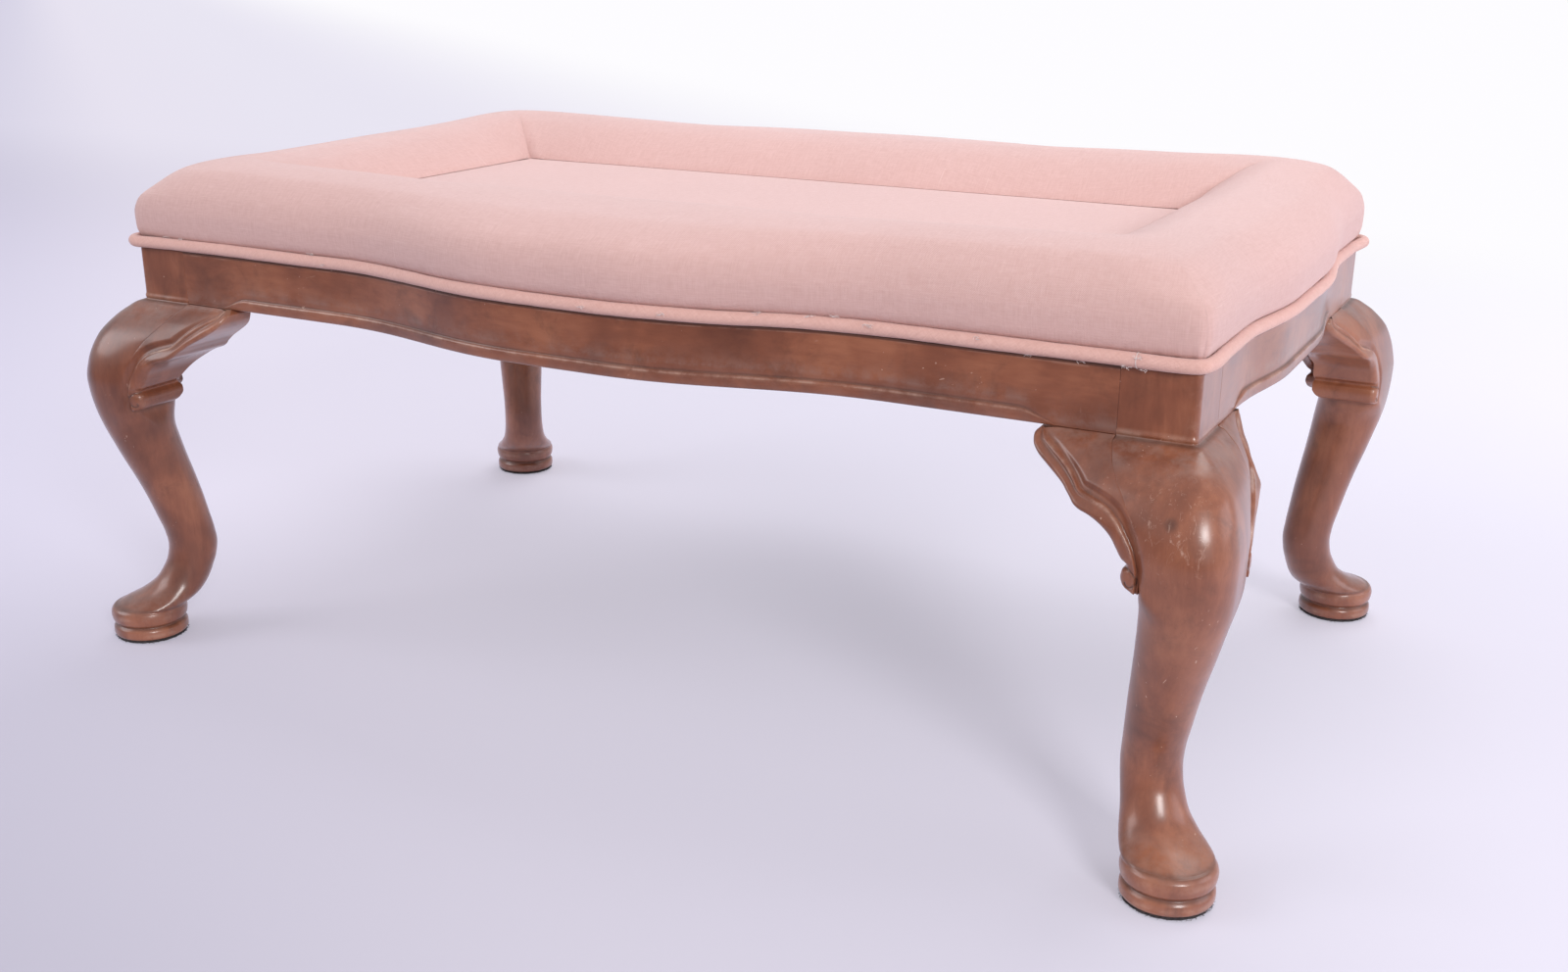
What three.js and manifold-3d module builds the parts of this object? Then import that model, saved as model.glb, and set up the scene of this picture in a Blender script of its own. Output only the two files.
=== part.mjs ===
// Upholstered footstool: four cabriole legs with pad feet, eight scrolled knee brackets,
// serpentine rails with a lower bead, and a pad whose raised, mitred border surrounds a sunken panel.
// Millimetres, +Z up. The origin is on the floor under the middle of the stool, +X runs along its
// long side and -Y is the front. Each corner's pieces are shaped for the +X +Y corner, with the outer
// corner of the post as their own origin, and are mirrored to the other three.

import * as THREE from 'three';
import { mergeVertices } from 'three/addons/utils/BufferGeometryUtils.js';
import Module from 'manifold-3d';

const wasm = await Module();
wasm.setup();

// Frame
const frameLength = 900;
const frameDepth = 512;
const railUnderside = 300;
const railHeight = 44;
const railThickness = 24;
const postWidth = 51;
const postArris = 2.5;

// Serpentine rails: how far the middle swells, the flat at its top, and where the swell has died away
const longRail = { half: frameLength / 2, swell: 34, crownHalf: 20, fadeHalf: 255 };
const endRail = { half: frameDepth / 2, swell: 10.5, crownHalf: 40, fadeHalf: 165 };

// Joints
const jointGap = 0.3;
const overrun = 2;
const tenonLength = 22;
const tenonHeight = 30;
const tenonThickness = 10;
const tenonSetback = 7;
const tenonFloor = 8;

// Legs
const kneeProud = { x: 38.5, y: 53 };
const kneeArcRadius = 28;
const footReach = { x: 12.5, y: 25 };
const shinRadius = 29.4;
const footRadius = 32;
const feltThickness = 3;
const feltRadius = 29.5;

// Knee brackets
const bracketWidth = 103;
const bracketDrop = 89;
const bandRelief = 2.2;

// Bead along the lower edge of the rails
const beadHeight = 9;
const beadProud = 1.8;
const beadEndInset = 92;
const beadRun = 30;

// Pad
const boardThickness = 12;
const boardInset = 6;
const pipingRadius = 4.75;
const pipingProud = 1.5;
const pipingCornerProud = 5.5;
const padCornerRadius = 7.5;
const padBulge = 6;
const cornerBulge = 2;
const cornerBlend = 45;
const crestInset = 56;
const crestRise = 69.5;
const cornerLift = 4;
const wellInset = 118;
const wellRise = 38.5;
const panelCrown = 2.5;
const panelSink = 1;
const coverThickness = 1.5;
const rollGap = 0.5;
const dustCoverThickness = 0.8;

// Corner blocks and their screws
const blockArm = 59;
const blockHeight = 32;
const screwRadius = 2;
const screwHeadRadius = 4.2;
const screwHeadHeight = 2.6;
const screwClearance = 0.35;
const screwHeadTopShare = 0.7;
const blockScrewInset = 26;
const blockScrewGrip = 17;
const blockScrewBite = 16;
const counterboreRadius = 6;
const seatScrewInset = 60;
const seatScrewBite = 9;

const halfLength = frameLength / 2;
const halfDepth = frameDepth / 2;
const railTop = railUnderside + railHeight;
const boardUnderside = railTop + jointGap;
const boardTop = boardUnderside + boardThickness;
const pipingHeight = railTop + jointGap + pipingRadius;
const padSeamHeight = pipingHeight + pipingRadius + jointGap;
const crestHeight = railTop + crestRise;
const wellHeight = railTop + wellRise;

const mahogany = new THREE.MeshStandardMaterial({ color: 0x6e3f2a, roughness: 0.35, metalness: 0 });
const linen = new THREE.MeshStandardMaterial({ color: 0xd9a090, roughness: 0.9, metalness: 0 });
const foam = new THREE.MeshStandardMaterial({ color: 0xe6d9a8, roughness: 1, metalness: 0 });
const plywood = new THREE.MeshStandardMaterial({ color: 0xc9a878, roughness: 0.8, metalness: 0 });
const pine = new THREE.MeshStandardMaterial({ color: 0xc49a64, roughness: 0.75, metalness: 0 });
const felt = new THREE.MeshStandardMaterial({ color: 0x2b2622, roughness: 1, metalness: 0 });
const cambric = new THREE.MeshStandardMaterial({ color: 0x24211f, roughness: 1, metalness: 0 });
const steel = new THREE.MeshStandardMaterial({ color: 0xa8a59c, roughness: 0.4, metalness: 1 });

const footstool = new THREE.Group();

function piece(name, geometry, material, parent) {
  const mesh = new THREE.Mesh(geometry, material.clone());
  mesh.name = name;
  parent.add(mesh);
}

function clamp01(value) {
  return Math.min(1, Math.max(0, value));
}

function ease(value) {
  const t = clamp01(value);
  return t * t * (3 - 2 * t);
}

// Straight-line reading of rows whose first entry rises or falls steadily
function readRows(rows, place, column) {
  const rising = rows[rows.length - 1][0] > rows[0][0];
  let i = 0;
  while (i < rows.length - 2 && (rising ? place > rows[i + 1][0] : place < rows[i + 1][0])) i += 1;
  const share = clamp01((place - rows[i][0]) / (rows[i + 1][0] - rows[i][0]));
  return THREE.MathUtils.lerp(rows[i][column], rows[i + 1][column], share);
}

// A closed solid from points and triangles, turned outwards by the sign of its volume
function solidGeometry(points, triangles) {
  let volume = 0;
  const cross = new THREE.Vector3();
  for (const [a, b, c] of triangles) volume += points[a].dot(cross.crossVectors(points[b], points[c]));
  const index = triangles.flatMap(([a, b, c]) => (volume > 0 ? [a, b, c] : [a, c, b]));
  const geometry = new THREE.BufferGeometry().setFromPoints(points);
  geometry.setIndex(index);
  return geometry;
}

// Skin through equal rings; the ends are capped, or the last ring runs into the first
function loft(rings, looped = false) {
  const count = rings[0].length;
  const points = rings.flat();
  const triangles = [];
  const spans = looped ? rings.length : rings.length - 1;
  for (let i = 0; i < spans; i += 1) {
    const next = (i + 1) % rings.length;
    for (let j = 0; j < count; j += 1) {
      const k = (j + 1) % count;
      const quad = [i * count + j, i * count + k, next * count + k, next * count + j];
      triangles.push([quad[0], quad[1], quad[2]], [quad[0], quad[2], quad[3]]);
    }
  }
  if (!looped) {
    const last = (rings.length - 1) * count;
    for (const [a, b, c] of capTriangles(rings[0])) triangles.push([c, b, a]);
    const end = capTriangles(rings[rings.length - 1]);
    for (const [a, b, c] of end) triangles.push([last + a, last + b, last + c]);
  }
  return solidGeometry(points, triangles);
}

// Triangles of a flat end ring, kept in the ring's own direction
function capTriangles(ring) {
  const normal = new THREE.Vector3();
  const cross = new THREE.Vector3();
  ring.forEach((point, i) => normal.add(cross.crossVectors(point, ring[(i + 1) % ring.length])));
  normal.normalize();
  const side = new THREE.Vector3().subVectors(ring[1], ring[0]).normalize();
  const up = new THREE.Vector3().crossVectors(normal, side);
  const flat = ring.map((point) => new THREE.Vector2(point.dot(side), point.dot(up)));
  return THREE.ShapeUtils.triangulateShape(flat, []);
}

// A sheet of even thickness between two grids of points
function sheet(outside, inside) {
  const rows = outside.length;
  const columns = outside[0].length;
  const points = [...outside.flat(), ...inside.flat()];
  const back = rows * columns;
  const at = (i, j) => i * columns + j;
  const triangles = [];
  const quad = (a, b, c, d) => triangles.push([a, b, c], [a, c, d]);
  for (let i = 0; i < rows - 1; i += 1) {
    for (let j = 0; j < columns - 1; j += 1) {
      quad(at(i, j), at(i, j + 1), at(i + 1, j + 1), at(i + 1, j));
      quad(back + at(i, j), back + at(i + 1, j), back + at(i + 1, j + 1), back + at(i, j + 1));
    }
  }
  const edge = (a, b) => quad(a, back + a, back + b, b);
  for (let j = 0; j < columns - 1; j += 1) {
    edge(at(0, j), at(0, j + 1));
    edge(at(rows - 1, j + 1), at(rows - 1, j));
  }
  for (let i = 0; i < rows - 1; i += 1) {
    edge(at(i + 1, 0), at(i, 0));
    edge(at(i, columns - 1), at(i + 1, columns - 1));
  }
  return solidGeometry(points, triangles);
}

function toManifold(geometry) {
  const bare = geometry.clone();
  bare.deleteAttribute('normal');
  bare.deleteAttribute('uv');
  const merged = mergeVertices(bare);
  const vertProperties = new Float32Array(merged.attributes.position.array);
  const triVerts = new Uint32Array(merged.index.array);
  return new wasm.Manifold(new wasm.Mesh({ numProp: 3, vertProperties, triVerts }));
}

function fromManifold(solid) {
  const mesh = solid.getMesh();
  const geometry = new THREE.BufferGeometry();
  geometry.setAttribute('position', new THREE.BufferAttribute(mesh.vertProperties, 3));
  geometry.setIndex(new THREE.BufferAttribute(mesh.triVerts, 1));
  return geometry;
}

function joined(base, additions, cuts) {
  let solid = toManifold(base);
  for (const addition of additions) solid = solid.add(toManifold(addition));
  for (const cut of cuts) solid = solid.subtract(toManifold(cut));
  return fromManifold(solid);
}

// The same geometry for another corner or side, turned inside out again where it is mirrored
function mirrored(geometry, signX, signY) {
  const copy = geometry.clone();
  copy.scale(signX, signY, 1);
  if (signX * signY < 0) {
    const index = copy.index.array;
    for (let i = 0; i < index.length; i += 3) [index[i + 1], index[i + 2]] = [index[i + 2], index[i + 1]];
  }
  return copy;
}

// A box between two corners
function boxBetween(low, high) {
  const size = new THREE.Vector3().subVectors(high, low);
  const middle = new THREE.Vector3().addVectors(low, high).multiplyScalar(0.5);
  const geometry = new THREE.BoxGeometry(size.x, size.y, size.z);
  geometry.translate(middle.x, middle.y, middle.z);
  return geometry;
}

// A round bar from one point to another
function barBetween(start, end, radius, sides) {
  const span = new THREE.Vector3().subVectors(end, start);
  const geometry = new THREE.CylinderGeometry(radius, radius, span.length(), sides);
  geometry.translate(0, span.length() / 2, 0);
  const turn = new THREE.Quaternion().setFromUnitVectors(new THREE.Vector3(0, 1, 0), span.normalize());
  geometry.applyQuaternion(turn);
  geometry.translate(start.x, start.y, start.z);
  return geometry;
}

// Swell of a rail beyond the line through its two posts
function swellAt(rail, along) {
  const share = clamp01((Math.abs(along) - rail.crownHalf) / (rail.fadeHalf - rail.crownHalf));
  return rail.swell * (1 - share ** 3 * (10 - 15 * share + 6 * share ** 2));
}

// Legs: round sections from the toe to the top of the shin. Each row: height and lean, then radius.
// Height is a share of the leg, lean runs from the post's middle to the foot's middle.
const shinShares = [
  [0.08, 1, 0.97],
  [0.094, 0.96, 1.03],
  [0.105, 0.87, 1.02],
  [0.12, 0.73, 0.94],
  [0.137, 0.62, 0.86],
  [0.16, 0.51, 0.775],
  [0.19, 0.425, 0.73],
  [0.227, 0.35, 0.705],
  [0.267, 0.32, 0.7],
  [0.307, 0.345, 0.705],
  [0.357, 0.405, 0.735],
  [0.42, 0.485, 0.775],
  [0.483, 0.58, 0.82],
  [0.54, 0.675, 0.87],
  [0.603, 0.77, 0.925],
  [0.667, 0.86, 0.98],
];

// Knee and post: height as a share of the leg, how proud the end face and the long face stand as shares
// of the knee, how far the inner flank lies from the post's face as a share of its width, then the radii
// of the outer corner, the two corners beside the brackets and the inner corner as shares of the arc.
const kneeShares = [
  [0.683, 0.95, 0.9, 0.38, 1, 0.6, 0.92],
  [0.704, 0.97, 0.925, 0.35, 1, 0.12, 0.87],
  [0.727, 0.985, 0.95, 0.345, 1, 0.05, 0.83],
  [0.783, 1, 0.99, 0.355, 1, 0.05, 0.75],
  [0.84, 0.94, 0.95, 0.43, 1, 0.05, 0.6],
  [0.907, 0.78, 0.78, 0.65, 0.9, 0.05, 0.4],
  [0.957, 0.485, 0.485, 0.88, 0.6, 0.05, 0.2],
  [0.98, 0.27, 0.27, 0.96, 0.35, 0.05, 0.1],
  [0.994, 0.11, 0.11, 1, 0.18, 0.05, 0.083],
  [1, 0, 0, 1, 0.083, 0.05, 0.083],
];
const proudColumns = { x: 1, y: 2 };

// The knee's two faces fall back from its outer corner to its flanks by this share
const flankFallShare = 0.1;

const cornerSteps = 3;

// A four-cornered ring with its own radius at each corner, in the order outer, left, inner, right.
// The left and right corners stand back from the outer faces by a share of them.
function roundedRing(low, high, radii, height, fallShare = 0) {
  const corners = [
    [high.x, high.y, 1, 1],
    [low.x, high.y * (1 - fallShare), -1, 1],
    [low.x, low.y, -1, -1],
    [high.x * (1 - fallShare), low.y, 1, -1],
  ];
  return corners.flatMap(([x, y, signX, signY], i) => {
    const centreX = x - signX * radii[i];
    const centreY = y - signY * radii[i];
    return Array.from({ length: cornerSteps + 1 }, (_, step) => {
      const angle = (i + step / cornerSteps) * 0.5 * Math.PI;
      return new THREE.Vector3(
        centreX + radii[i] * Math.cos(angle),
        centreY + radii[i] * Math.sin(angle),
        height,
      );
    });
  });
}

function shinRing([heightShare, leanShare, radiusShare]) {
  const centreX = THREE.MathUtils.lerp(-postWidth / 2, footReach.x, leanShare);
  const centreY = THREE.MathUtils.lerp(-postWidth / 2, footReach.y, leanShare);
  const radius = shinRadius * radiusShare;
  const low = { x: centreX - radius, y: centreY - radius };
  const high = { x: centreX + radius, y: centreY + radius };
  return roundedRing(low, high, [radius, radius, radius, radius], heightShare * railUnderside);
}

function kneeRing([heightShare, endShare, longShare, flankShare, outerShare, sideShare, innerShare]) {
  const flank = -flankShare * postWidth;
  const high = { x: endShare * kneeProud.x, y: longShare * kneeProud.y };
  const radii = [outerShare, sideShare, innerShare, sideShare].map((share) => share * kneeArcRadius);
  radii[0] = Math.max(radii[0], postArris);
  const fallShare = flankFallShare * (1 - sideShare);
  return roundedRing({ x: flank, y: flank }, high, radii, heightShare * railUnderside, fallShare);
}

function postTopRing() {
  const ring = kneeRing(kneeShares[kneeShares.length - 1]);
  return ring.map((point) => new THREE.Vector3(point.x, point.y, railTop));
}

// Turned pad foot: a lower disc, a groove and an upper disc, as shares of the foot's radius and height
const footShares = [
  [0, 0.1],
  [0.945, 0.1],
  [0.98, 0.2],
  [0.975, 0.34],
  [0.93, 0.43],
  [0.895, 0.475],
  [0.97, 0.6],
  [1, 0.78],
  [0.975, 0.9],
  [0.9, 1],
  [0, 1],
];
const footHeight = 29;
const footSides = 20;

function footGeometry() {
  const profile = footShares.map(([radiusShare, heightShare]) => {
    const height = Math.max(heightShare * footHeight, feltThickness);
    return new THREE.Vector2(radiusShare * footRadius, height);
  });
  const geometry = new THREE.LatheGeometry(profile, footSides);
  geometry.rotateX(Math.PI / 2);
  geometry.translate(footReach.x, footReach.y, 0);
  return geometry;
}

// The tenon of a rail as it lies in the post, along X or along Y, and its mortise when clearance is added
function tenonBox(axis, clearance, root) {
  const across = axis === 'x' ? 'y' : 'x';
  const low = new THREE.Vector3();
  const high = new THREE.Vector3();
  low[axis] = -postWidth - root;
  high[axis] = -postWidth + tenonLength + clearance;
  low[across] = -tenonSetback - tenonThickness - clearance;
  high[across] = -tenonSetback + clearance;
  low.z = railUnderside + tenonFloor - clearance;
  high.z = railUnderside + tenonFloor + tenonHeight + clearance;
  return boxBetween(low, high);
}

function legGeometry() {
  const rings = [...shinShares.map(shinRing), ...kneeShares.map(kneeRing), postTopRing()];
  const mortises = [tenonBox('x', jointGap, overrun), tenonBox('y', jointGap, overrun)];
  return joined(loft(rings), [footGeometry()], mortises);
}

// Knee brackets: drop below the rail, width at the outer edge, width at the band's inner line, how
// proud the outer edge stands as a share of the knee, on the long side and on the end, and how far the
// back lies behind the rail's face as a share of the rail's thickness
const bracketShares = [
  [0, 0.961, 0.94, 0.05, 0.01, 0.75],
  [0.044, 0.991, 0.905, 0.167, 0.04, 0.78],
  [0.096, 0.978, 0.825, 0.265, 0.09, 0.8],
  [0.153, 0.935, 0.748, 0.351, 0.17, 0.85],
  [0.217, 0.86, 0.682, 0.424, 0.312, 0.9],
  [0.273, 0.782, 0.635, 0.51, 0.423, 0.95],
  [0.318, 0.721, 0.597, 0.588, 0.527, 1],
  [0.345, 0.694, 0.524, 0.633, 0.58, 1],
  [0.375, 0.664, 0.445, 0.676, 0.644, 0.98],
  [0.419, 0.625, 0.372, 0.737, 0.74, 0.9],
  [0.444, 0.588, 0.35, 0.765, 0.771, 0.85],
  [0.518, 0.442, 0.296, 0.802, 0.82, 0.72],
  [0.6, 0.366, 0.25, 0.806, 0.83, 0.6],
  [0.756, 0.284, 0.197, 0.796, 0.85, 0.45],
  [0.79, 0.25, 0.19, 0.796, 0.855, 0.44],
  [0.836, 0.275, 0.186, 0.796, 0.86, 0.42],
  [0.89, 0.284, 0.186, 0.796, 0.865, 0.41],
  [0.947, 0.273, 0.19, 0.786, 0.865, 0.4],
  [0.984, 0.248, 0.192, 0.778, 0.865, 0.4],
  [1, 0.21, 0.193, 0.776, 0.865, 0.4],
];

// Across the band: place from its outer edge to its inner line, and relief above the bracket's face
const bandShares = [
  [0, -1.2],
  [0.2, 0.7],
  [0.65, 1],
  [1, -0.3],
];

// One level of a bracket, along the rail and out from its face. Its face runs from the knee's, at the
// flank, to its own at the outer edge.
function bracketLevel([dropShare, edgeShare, lineShare, longShare, endShare, backShare], axis) {
  const height = railUnderside - jointGap - dropShare * bracketDrop;
  const heightShare = height / railUnderside;
  const flank = readRows(kneeShares, heightShare, 3) * postWidth + jointGap;
  const edge = edgeShare * bracketWidth;
  const line = Math.max(lineShare * bracketWidth, flank + bandRelief);
  const proudShare = readRows(kneeShares, heightShare, proudColumns[axis]);
  const flankOut = kneeProud[axis] * proudShare * (1 - flankFallShare);
  const edgeOut = kneeProud[axis] * (axis === 'y' ? longShare : endShare);
  const face = (along) => THREE.MathUtils.lerp(flankOut, edgeOut, (along - flank) / (edge - flank));
  const back = -backShare * railThickness;
  const level = [[edge, back]];
  for (const [place, relief] of bandShares) {
    const along = THREE.MathUtils.lerp(edge, line, place);
    level.push([along, face(along) + relief * bandRelief]);
  }
  const middle = (line + flank) / 2;
  level.push([middle, face(middle)], [flank, face(flank)], [flank, back]);
  return level.map(([along, out]) => (
    axis === 'y' ? new THREE.Vector3(-along, out, height) : new THREE.Vector3(out, -along, height)
  ));
}

// Levels fall at every row of the bracket and of the knee beside it, so that the two lie parallel
function bracketGeometry(axis) {
  const drops = bracketShares.map((row) => row[0]);
  for (const [heightShare] of kneeShares) {
    const dropShare = (railUnderside - jointGap - heightShare * railUnderside) / bracketDrop;
    const nearest = Math.min(...bracketShares.map((row) => Math.abs(row[0] - dropShare)));
    if (dropShare > 0 && dropShare < 1 && nearest > 0) drops.push(dropShare);
  }
  drops.sort((a, b) => a - b);
  const columns = [1, 2, 3, 4, 5];
  const rows = drops.map((drop) => [drop, ...columns.map((column) => readRows(bracketShares, drop, column))]);
  return loft(rows.map((row) => bracketLevel(row, axis)));
}

// Rails, along their own length with their face outwards; the bead follows the face
const railStation = 30;
const beadEndSteps = 3;
const beadEndShare = 0.08;

function spread(low, high, count) {
  return Array.from({ length: count + 1 }, (_, i) => THREE.MathUtils.lerp(low, high, i / count));
}

function beadHeightAt(rail, along) {
  const left = rail.half - beadEndInset - Math.abs(along);
  return beadHeight * Math.max(ease(left / beadRun), beadEndShare);
}

// The bead's ends are taken more closely, where it rises
function beadStations(rail) {
  const reach = rail.half - beadEndInset;
  const rise = spread(reach, reach - beadRun, beadEndSteps);
  const middle = reach - beadRun;
  const plain = spread(-middle, middle, Math.round(2 * middle / railStation));
  return [...rise.map((along) => -along), ...plain.slice(1, -1), ...rise.reverse()];
}

// Across the bead, from its quirk down to the rail's underside: shares of its relief and height
const beadShares = [
  [-1, 1],
  [0, 1],
  [0.8, 0.84],
  [1, 0.5],
  [0.7, 0.05],
  [-1, 0.05],
];

function railRing(rail, along, mapping) {
  const face = swellAt(rail, along);
  const ring = [
    [face, railUnderside],
    [face, railTop],
    [face - railThickness, railTop],
    [face - railThickness, railUnderside],
  ];
  return ring.map(([out, height]) => mapping(along, out, height));
}

function beadRing(rail, along, mapping) {
  const face = swellAt(rail, along);
  const height = beadHeightAt(rail, along);
  const relief = beadProud * height / beadHeight;
  return beadShares.map(([reliefShare, heightShare]) => {
    const out = reliefShare < 0 ? face - beadProud : face + reliefShare * relief;
    return mapping(along, out, railUnderside + heightShare * height);
  });
}

// Along X for the long rails and along Y for the end rails, for the +Y and +X sides
const longMapping = (along, out, height) => new THREE.Vector3(along, halfDepth + out, height);
const endMapping = (along, out, height) => new THREE.Vector3(halfLength + out, -along, height);

function railGeometry(rail, axis, mapping) {
  const reach = rail.half - postWidth - jointGap;
  const stations = spread(-reach, reach, Math.round(2 * reach / railStation));
  const body = loft(stations.map((along) => railRing(rail, along, mapping)));
  const bead = loft(beadStations(rail).map((along) => beadRing(rail, along, mapping)));
  const tenons = [];
  for (const end of [1, -1]) {
    const tenon = tenonBox(axis, 0, overrun);
    tenon.translate(halfLength, halfDepth, 0);
    tenons.push(mirrored(tenon, axis === 'x' ? end : 1, axis === 'y' ? end : 1));
  }
  return joined(body, [bead, ...tenons], []);
}

// Corner blocks fill the angle between two rails, notched round the post
const blockSeat = -railThickness - jointGap;
const blockNotch = -postWidth - jointGap;
const blockEnd = blockNotch - blockArm;
const blockTop = railTop - jointGap;
const blockUnderside = blockTop - blockHeight;
const blockMiddle = (blockTop + blockUnderside) / 2;
const blockScrewPlace = blockEnd + blockScrewInset;
const blockScrewSeat = blockSeat - blockScrewGrip;
const blockScrewTip = -railThickness + blockScrewBite;
const seatScrewPlace = -seatScrewInset;
const holeRadius = screwRadius + screwClearance;
const screwSides = 8;

function blockPoint(along, out, height, axis) {
  return axis === 'x' ? new THREE.Vector3(along, out, height) : new THREE.Vector3(out, along, height);
}

function blockGeometry() {
  const outline = [
    [blockEnd, blockSeat],
    [blockNotch, blockSeat],
    [blockNotch, blockNotch],
    [blockSeat, blockNotch],
    [blockSeat, blockEnd],
  ];
  const shape = new THREE.Shape(outline.map(([x, y]) => new THREE.Vector2(x, y)));
  const body = new THREE.ExtrudeGeometry(shape, { depth: blockHeight, bevelEnabled: false });
  body.translate(0, 0, blockUnderside);
  const cuts = [];
  for (const axis of ['x', 'y']) {
    const start = blockPoint(blockScrewPlace, blockScrewSeat, blockMiddle, axis);
    const outer = blockPoint(blockScrewPlace, blockSeat + overrun, blockMiddle, axis);
    const inner = blockPoint(blockScrewPlace, blockEnd - overrun, blockMiddle, axis);
    cuts.push(barBetween(start, outer, holeRadius, screwSides));
    cuts.push(barBetween(inner, start, counterboreRadius, screwSides));
  }
  const below = new THREE.Vector3(seatScrewPlace, seatScrewPlace, blockUnderside - overrun);
  const above = new THREE.Vector3(seatScrewPlace, seatScrewPlace, blockTop + overrun);
  cuts.push(barBetween(below, above, holeRadius, screwSides));
  return joined(body, [], cuts);
}

// A pan-head screw from the underside of its head to its tip
function screwGeometry(seat, tip) {
  const span = new THREE.Vector3().subVectors(tip, seat);
  const length = span.length();
  const headTop = -jointGap - screwHeadHeight;
  const profile = [
    new THREE.Vector2(0, headTop),
    new THREE.Vector2(screwHeadRadius * screwHeadTopShare, headTop),
    new THREE.Vector2(screwHeadRadius, -jointGap),
    new THREE.Vector2(screwRadius, -jointGap),
    new THREE.Vector2(screwRadius, length - 2 * screwRadius),
    new THREE.Vector2(0, length),
  ];
  const geometry = new THREE.LatheGeometry(profile, screwSides);
  const turn = new THREE.Quaternion().setFromUnitVectors(new THREE.Vector3(0, 1, 0), span.normalize());
  geometry.applyQuaternion(turn);
  geometry.translate(seat.x, seat.y, seat.z);
  const bare = geometry.clone();
  bare.deleteAttribute('normal');
  bare.deleteAttribute('uv');
  return mergeVertices(bare);
}

function blockScrewGeometry(axis) {
  const seat = blockPoint(blockScrewPlace, blockScrewSeat, blockMiddle, axis);
  const tip = blockPoint(blockScrewPlace, blockScrewTip, blockMiddle, axis);
  return screwGeometry(seat, tip);
}

function blockScrewHole(axis) {
  const start = blockPoint(blockScrewPlace, blockSeat - overrun, blockMiddle, axis);
  const end = blockPoint(blockScrewPlace, blockScrewTip + screwClearance, blockMiddle, axis);
  return barBetween(start, end, holeRadius, screwSides);
}

function seatScrewGeometry() {
  const seat = new THREE.Vector3(seatScrewPlace, seatScrewPlace, blockUnderside);
  const tip = new THREE.Vector3(seatScrewPlace, seatScrewPlace, boardUnderside + seatScrewBite);
  return screwGeometry(seat, tip);
}

// Pad: stations along one side from mitre to mitre. Each joins a point of the outer outline to one on
// the crest and one on the edge of the well.
const cornerAngles = [Math.PI / 4, Math.PI / 8, 0];
const bowSteps = 5;
const blendSteps = 2;
const squareShare = 0.4;

function fanned(along, inset, rail) {
  const mitre = rail.half - padCornerRadius * (1 - Math.SQRT1_2);
  const square = squareShare * rail.half;
  const share = clamp01((Math.abs(along) - square) / (mitre - square));
  const fan = THREE.MathUtils.lerp(square, rail.half - inset, share);
  return Math.sign(along) * (Math.abs(along) < square ? Math.abs(along) : fan);
}

// One at a mitre, falling to zero where the corner has passed into the side
function turnShare(rail, along) {
  const start = padCornerRadius * (1 - Math.SQRT1_2);
  return 1 - ease((rail.half - Math.abs(along) - start) / (cornerBlend - start));
}

function outlineStations(rail) {
  const half = cornerAngles.map((angle) => [
    rail.half - padCornerRadius * (1 - Math.sin(angle)),
    -padCornerRadius * (1 - Math.cos(angle)),
  ]);
  const blend = spread(rail.half - padCornerRadius, rail.half - cornerBlend, blendSteps).slice(1);
  for (const along of [...blend, ...spread(rail.fadeHalf, rail.crownHalf, bowSteps)]) {
    half.push([along, swellAt(rail, along)]);
  }
  return [...half.map(([along, out]) => [-along, out]), ...half.reverse()];
}

function padStations(rail) {
  return outlineStations(rail).map(([along, out]) => {
    const edge = new THREE.Vector2(along, out);
    const crest = new THREE.Vector2(fanned(along, crestInset, rail), -crestInset);
    const well = new THREE.Vector2(fanned(along, wellInset, rail), -wellInset);
    const crestShare = Math.abs(crest.x) / (rail.half - crestInset);
    const lift = cornerLift * ease((crestShare - squareShare) / (1 - squareShare));
    return { edge, crest, well, lift, turn: turnShare(rail, along) };
  });
}

// Outer half of the border: how far it stands out (share of the bulge) or in (share of the way to the
// crest), height from seam to crest, share of the corner's lift, and how much lower it lies at a corner
const outerShares = [
  [-0.1, 0, 0, 0],
  [-0.8, 0.13, 0, 0],
  [-1, 0.35, 0, 0.01],
  [-0.4, 0.56, 0.15, 0.03],
  [0.12, 0.76, 0.4, 0.06],
  [0.45, 0.945, 0.9, 0.04],
  [1, 1, 1, 0],
];

// Inner half: way from the crest to the well, height from well to crest, and share of the lift
const innerShares = [
  [0.33, 0.87, 0.8],
  [0.64, 0.56, 0.5],
  [0.88, 0.2, 0.15],
  [1, 0, 0],
];

// The border's section at a station, moved inwards by a distance, as places along its plan line
function borderSection(station, inset) {
  const outerRun = station.edge.distanceTo(station.crest);
  const innerRun = station.crest.distanceTo(station.well);
  const crest = crestHeight + station.lift;
  const bulge = THREE.MathUtils.lerp(padBulge, cornerBulge, station.turn);
  const section = outerShares.map(([placeShare, heightShare, liftShare, dropShare]) => {
    const place = placeShare < 0 ? placeShare * bulge : placeShare * outerRun;
    const top = crestHeight + station.lift * liftShare;
    const share = heightShare - station.turn * dropShare;
    return new THREE.Vector2(place, THREE.MathUtils.lerp(padSeamHeight, top, share));
  });
  for (const [placeShare, heightShare] of innerShares) {
    section.push(new THREE.Vector2(
      outerRun + placeShare * innerRun,
      THREE.MathUtils.lerp(wellHeight, crest, heightShare),
    ));
  }
  return section.map((point, i) => {
    const before = section[Math.max(i - 1, 0)];
    const after = section[Math.min(i + 1, section.length - 1)];
    const run = new THREE.Vector2().subVectors(after, before).normalize();
    return new THREE.Vector2(point.x + run.y * inset, point.y - run.x * inset);
  });
}

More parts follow.
